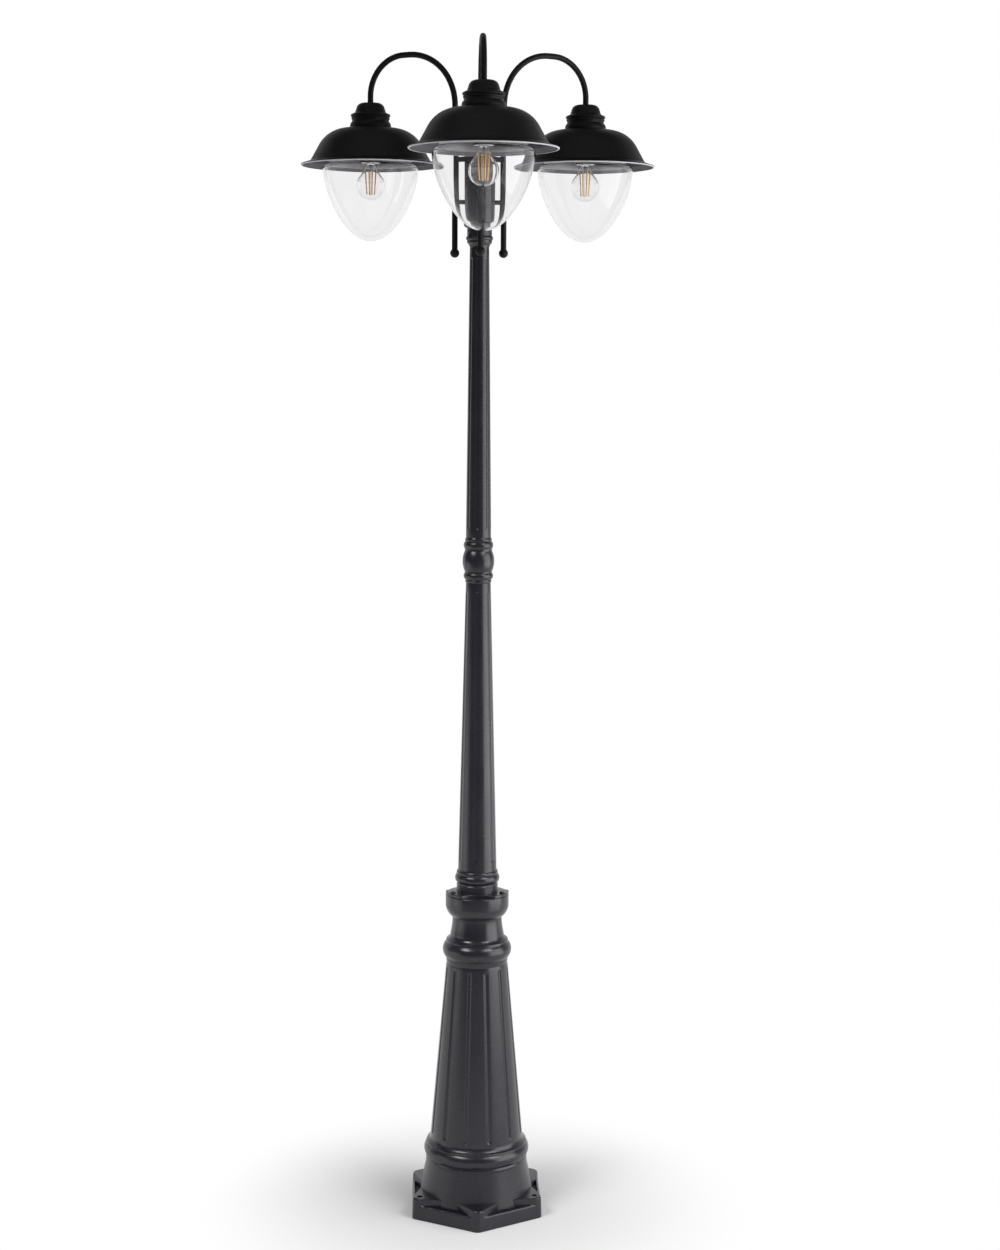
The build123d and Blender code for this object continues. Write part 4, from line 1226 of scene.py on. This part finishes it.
class LAMPPOST_OT_bulbs(Operator):
    """Clear bulbs: globe, glass stem, amber filaments on wire crosses and a threaded cap"""
    bl_idname = "lamppost.bulbs"
    bl_label = "Bulbs"

    def execute(self, context):
        size = context.scene.lamp_lamps
        for number in LAMPS:
            body = f"bulb_{number}"
            axis = lamp_axis(number)
            mouth = low(f"bulb_cap_{number}")[2]
            tip = low(f"bulb_glass_{number}")[2]
            top = high(f"bulb_cap_{number}")[2]
            globe = piece(f"bulb_globe_{number}", [turned(self.globe(size, tip, mouth), axis, 112)],
                          [finish_of("globe_glass")], body=body, replaces=[f"bulb_glass_{number}"],
                          sharp=60)
            piece(f"bulb_thread_{number}", [self.thread(size, axis, mouth, top)], [finish_of("nickel")],
                  body=body, replaces=[f"bulb_cap_{number}"], sharp=50)
            stem_grid, sticks, wires = self.inside(size, axis, mouth)
            piece(f"filament_sticks_{number}", sticks, [finish_of("amber")], body=body,
                  replaces=[f"bulb_filament_{number}"])
            piece(f"filament_wires_{number}", wires, [finish_of("nickel")], body=body)
            stem = piece(f"bulb_stem_{number}", [stem_grid], [finish_of("globe_glass")], body=body,
                         sharp=60)
            globe.visible_shadow = False
            stem.visible_shadow = False
        return {"FINISHED"}

    @staticmethod
    def globe(size, tip, mouth):
        """Sphere up to the neck angle, then a hollow neck curve that runs upright into the cap."""
        centre = tip + size.globe_radius
        angle = size.neck_angle

        def side(inset):
            radius = size.globe_radius - inset
            turn = np.linspace(-math.pi / 2, angle, 40)
            ball = np.stack([radius * np.cos(turn), centre + radius * np.sin(turn)], -1)
            bend = (mouth - centre - size.globe_radius * math.sin(angle)) / math.sin(angle) + inset
            back = np.linspace(angle, 0, 16)[1:]
            hub = ball[-1] + bend * np.array([math.cos(angle), math.sin(angle)])
            neck = hub - bend * np.stack([np.cos(back), np.sin(back)], -1)
            return np.vstack([ball, neck])

        return np.vstack([side(0), side(size.globe_wall)[::-1]])

    @staticmethod
    def thread(size, axis, mouth, top):
        """Cap whose radius waves with the pitch: crest less half the depth times 1 - cos of the helix phase.

        The wave fades out at both ends, between a plain mouth and a tapering insulator.
        """
        angle = np.linspace(0, TURN, 96, endpoint=False)
        tall = top - mouth
        threaded = 0.75 * tall
        fade_in, fade_out = 0.22, 0.12
        plain = 0.0006
        height = np.linspace(mouth + plain, mouth + threaded, 84)[:, None]
        phase = TURN * (height - mouth) / size.cap_pitch - angle
        run = (height - mouth) / threaded
        fade = smooth_step(run / fade_in) * smooth_step((1 - run) / fade_out)
        wave = size.cap_radius - size.cap_thread * (0.5 - 0.5 * np.cos(phase)) * fade
        mouth_rows = np.array([[0, 0], [0.92, 0], [1, 0.0004]])
        taper_rows = np.array([[0.96, 0.78], [0.86, 0.83], [0.55, 0.97], [0.44, 1.0], [0, 1.0]])
        level = size.cap_radius + 0 * angle
        radius = np.vstack([mouth_rows[:, :1] * level, wave, taper_rows[:, :1] * level])
        height = np.vstack([mouth + mouth_rows[:, 1:], height, mouth + taper_rows[:, 1:] * tall])
        return polar(radius, angle, height, axis), True, True

    @staticmethod
    def inside(size, axis, mouth):
        """Flared stem, sticks with softened ends and the wires that carry them."""
        stem_reach = 1.25 * size.filament_drop
        stem_tip = mouth - stem_reach
        stem_waist = mouth - 0.5 * stem_reach
        stem_top = mouth - 0.0006
        stem = turned(outline(
            (0, stem_tip), (0.0022, stem_tip, 0.0008), (0.0030, stem_waist, 0.004),
            (0.0098, stem_top, 0.0004), (0, stem_top)), axis, 48)
        start = mouth - size.filament_drop
        end = start - size.filament_length
        bare, stick_edge = 0.0012, 0.0004
        pin_radius, arm_radius, post_radius = 0.00045, 0.0003, 0.0006
        upper_hub, lower_hub = np.array([*axis, start + 0.002]), np.array([*axis, end + 0.0015])
        sticks, wires = [], []
        for direction in size.filament_turn + np.arange(size.filaments) * TURN / size.filaments:
            out = np.array([math.cos(direction), math.sin(direction), 0])
            upper = np.array([*axis, start]) + out * size.filament_top
            lower = np.array([*axis, end]) + out * size.filament_foot
            span = np.linalg.norm(lower - upper)
            stick = outline(
                (0, bare), (size.filament_radius, bare, stick_edge),
                (size.filament_radius, span - bare, stick_edge), (0, span - bare))
            sticks.append(lathe_along(stick, upper, lower - upper, 20))
            wires.append(lathe_along(rod(pin_radius, 0, span), upper, lower - upper, 12))
            for tip, hub in ((upper, upper_hub), (lower, lower_hub)):
                wires.append(lathe_along(rod(arm_radius, 0, np.linalg.norm(tip - hub)), hub, tip - hub, 10))
        post = rod(post_radius, 0, size.filament_length)
        wires.append(lathe_along(post, (*axis, stem_tip + 0.001), (0, 0, -1), 12))
        return stem, sticks, wires


class LAMPPOST_OT_fittings(Operator):
    """Finishes of the pieces that keep their own shape: hub, finials, collars, holders, nuts and wiring"""
    bl_idname = "lamppost.fittings"
    bl_label = "Fittings"

    def execute(self, context):
        single = {
            "arm_hub": "post_satin", "hub_cap": "post_satin", "coupling_tube": "zinc_plate",
            "hub_tube": "zinc_plate", "shade_nuts": "zinc_plate", "terminal_block": "terminal",
            "riser_cable": "sheath", "hub_connector": "terminal"}
        each = {
            "ball_finial": "black_matt", "lamp_lead": "sheath", "diffuser_collar": "inside_paint",
            "diffuser_gasket": "rubber", "lampholder": "holder_glaze", "bulb_contact": "brass"}
        single.update({f"{name}_{number}": finish for name, finish in each.items() for number in LAMPS})
        for name, finish in single.items():
            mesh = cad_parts[name].data
            mesh.materials.clear()
            mesh.materials.append(finish_of(finish))
        return {"FINISHED"}


class LAMPPOST_OT_stage(Operator):
    """Pale floor, soft studio light, white background and the camera"""
    bl_idname = "lamppost.stage"
    bl_label = "Stage"

    def execute(self, context):
        scene = context.scene
        studio = scene.lamp_studio
        scene.view_settings.view_transform = "Standard"
        self.floor(scene)
        self.world(scene, studio)
        masts, mouldings, lamps = Vector((0, 0, 1.15)), Vector((0, 0, 0.35)), Vector((0, 0, 2.0))
        grid = math.radians(48)
        right_share = 0.7
        self.softbox(
            "key_softbox", studio.key, masts, side=68, height=1.35, distance=3.0, size=(2.9, 2.7))
        self.softbox(
            "fill_softbox", studio.fill, mouldings, side=-78, height=0.45, distance=2.6, size=(1.6, 0.9))
        self.softbox(
            "strip_left", studio.strip, masts, side=-124, height=1.3, distance=2.6, size=(0.25, 2.6))
        self.softbox(
            "high_right", right_share * studio.high, mouldings, side=44, height=3.4, distance=2.9,
            size=(1.9, 0.9), spread=grid)
        self.softbox(
            "high_left", studio.high, mouldings, side=-48, height=3.4, distance=2.9, size=(1.7, 0.9),
            spread=grid)
        self.softbox(
            "top_panel", studio.top, lamps, side=-20, height=4.6, distance=0.9, size=(2.6, 2.6))
        self.camera(scene, studio)
        return {"FINISHED"}

    @staticmethod
    def softbox(name, brightness, target, side, height, distance, size, spread=math.pi):
        """Area light at an angle, in degrees, to the right of the front.

        Its power is brightness x pi x area, and with a grid of half-angle h also x (tan h - h) / tan h, which
        keeps the brightness along its axis.
        """
        lamp = bpy.data.lights.new(name, "AREA")
        lamp.shape = "RECTANGLE"
        lamp.size, lamp.size_y = size
        lamp.spread = spread
        through = math.tan(spread / 2)
        lamp.energy = brightness * math.pi * size[0] * size[1] * (through - spread / 2) / through
        made = bpy.data.objects.new(name, lamp)
        angle = math.radians(side)
        made.location = (distance * math.sin(angle), -distance * math.cos(angle), height)
        made.rotation_euler = (target - made.location).to_track_quat("-Z", "Y").to_euler()
        made.visible_transmission = False
        bpy.context.scene.collection.objects.link(made)

    @staticmethod
    def floor(scene):
        """Round pale floor that keeps the shadow near the foot and fades to white further out."""
        found, tree, shader = new_material("studio_floor", {
            "Base Color": (*scene.lamp_finishes.floor, 1), "Roughness": 0.9, "Specular IOR Level": 0.1})
        fade_start, fade_end = 0.12, 0.62
        dark_end, lit_end = -2.6, -0.8
        place = node(tree, "TexCoord").outputs["Object"]
        away = node(tree, "VectorMath", {0: place}, operation="LENGTH").outputs["Value"]
        far = remapped(tree, away, fade_start, fade_end, shape="SMOOTHSTEP")
        lit = remapped(tree, node(tree, "SeparateXYZ", {0: place}).outputs["Y"], dark_end, lit_end)
        path = node(tree, "LightPath").outputs
        mirrored = combined(tree, "MULTIPLY", path["Is Glossy Ray"], lit)
        seen = combined(tree, "MAXIMUM", path["Is Camera Ray"], mirrored)
        seen = combined(tree, "MAXIMUM", seen, path["Is Transmission Ray"])
        glow = combined(tree, "MULTIPLY", far, seen)
        white = node(tree, "Emission", {"Color": (1, 1, 1, 1), "Strength": 1.0})
        mix = node(tree, "MixShader", {0: glow, 1: shader.outputs[0], 2: white.outputs[0]})
        output = next(n for n in tree.nodes if n.type == "OUTPUT_MATERIAL")
        tree.links.new(mix.outputs[0], output.inputs["Surface"])
        radius = np.array([0, 0.3, 0.8, 2, 5, 20, 60])
        points, _, columns_close = turned(np.stack([radius, 0 * radius], -1))
        mesh = bpy.data.meshes.new("studio_floor")
        faces = quads(*points.shape[:2], False, columns_close)
        mesh.from_pydata(points.reshape(-1, 3).tolist(), [], faces.tolist())
        work = bmesh.new()
        work.from_mesh(mesh)
        bmesh.ops.remove_doubles(work, verts=work.verts, dist=1e-6)
        for face in work.faces:
            if face.normal.z < 0:
                face.normal_flip()
        work.to_mesh(mesh)
        work.free()
        mesh.materials.append(found)
        made = bpy.data.objects.new("studio_floor", mesh)
        scene.collection.objects.link(made)

    @staticmethod
    def world(scene, studio):
        """White to the eye and through glass; reflections see white behind, a darker front and a dark top."""
        world = bpy.data.worlds.new("studio")
        world.use_nodes = True
        tree = world.node_tree
        tree.nodes.clear()
        top_shade = 0.05
        place = node(tree, "TexCoord").outputs["Generated"]
        part = node(tree, "SeparateXYZ", {0: place}).outputs
        behind = remapped(tree, part["Y"], 0.1, 1.0, studio.front, 1.0, shape="SMOOTHSTEP")
        overhead = remapped(tree, part["Z"], 0.45, 0.85, 1.0, top_shade, shape="SMOOTHSTEP")
        mirrored = combined(tree, "MULTIPLY", behind, overhead)
        path = node(tree, "LightPath").outputs
        seen = combined(tree, "MAXIMUM", path["Is Camera Ray"], path["Is Transmission Ray"])
        unseen = node(tree, "Mix", {0: path["Is Glossy Ray"], 2: studio.ambient, 3: mirrored}).outputs[0]
        strength = node(tree, "Mix", {0: seen, 2: unseen, 3: 1.0}).outputs[0]
        back = node(tree, "Background", {"Color": (1, 1, 1, 1), "Strength": strength})
        node(tree, "OutputWorld", {"Surface": back.outputs[0]})
        scene.world = world

    @staticmethod
    def camera(scene, studio):
        """Camera turned right by yaw, down by pitch and rolled."""
        yaw, pitch, roll = studio.yaw, studio.pitch, studio.roll
        ahead = Vector((
            math.sin(yaw) * math.cos(pitch), math.cos(yaw) * math.cos(pitch), -math.sin(pitch)))
        right = Vector((math.cos(yaw), -math.sin(yaw), 0))
        up = right.cross(ahead)
        rolled_right = right * math.cos(roll) + up * math.sin(roll)
        rolled_up = up * math.cos(roll) - right * math.sin(roll)
        turn = Matrix((rolled_right, rolled_up, -ahead)).transposed()
        data = bpy.data.cameras.new("camera")
        data.sensor_width = studio.picture
        data.lens = studio.lens
        data.clip_end = 200
        made = bpy.data.objects.new("camera", data)
        made.matrix_world = Matrix.Translation(studio.eye) @ turn.to_4x4()
        scene.collection.objects.link(made)
        scene.camera = made


class LAMPPOST_PT_panel(Panel):
    """Lists the pieces"""
    bl_idname = "LAMPPOST_PT_panel"
    bl_label = "Lamp post"
    bl_space_type = "VIEW_3D"
    bl_region_type = "UI"
    bl_category = "Lamp Post"

    def draw(self, context):
        for step in STEPS:
            self.layout.operator(step.bl_idname)
        for name in SETTINGS:
            group = getattr(context.scene, name)
            box = self.layout.box()
            for key in group.__annotations__:
                box.prop(group, key)


SETTINGS = {
    "lamp_pedestal": PedestalSizes, "lamp_masts": MastSizes, "lamp_arms": ArmSizes, "lamp_lamps": LampSizes,
    "lamp_finishes": Finishes, "lamp_studio": Studio}
STEPS = (
    LAMPPOST_OT_pedestal, LAMPPOST_OT_masts, LAMPPOST_OT_bolts, LAMPPOST_OT_arms, LAMPPOST_OT_lamp_caps,
    LAMPPOST_OT_shades, LAMPPOST_OT_diffusers, LAMPPOST_OT_bulbs, LAMPPOST_OT_fittings, LAMPPOST_OT_stage)


def register():
    """Registers the settings, the operators and the panel."""
    for group in SETTINGS.values():
        bpy.utils.register_class(group)
    for step in (*STEPS, LAMPPOST_PT_panel):
        bpy.utils.register_class(step)
    for name, group in SETTINGS.items():
        setattr(bpy.types.Scene, name, PointerProperty(type=group))


def unregister():
    """Takes them away again."""
    for name in SETTINGS:
        delattr(bpy.types.Scene, name)
    for step in (LAMPPOST_PT_panel, *reversed(STEPS)):
        bpy.utils.unregister_class(step)
    for group in SETTINGS.values():
        bpy.utils.unregister_class(group)


def main():
    """Builds every piece in order."""
    register()
    for step in STEPS:
        area, name = step.bl_idname.split(".")
        getattr(getattr(bpy.ops, area), name)()


if __name__ == "__main__":
    main()
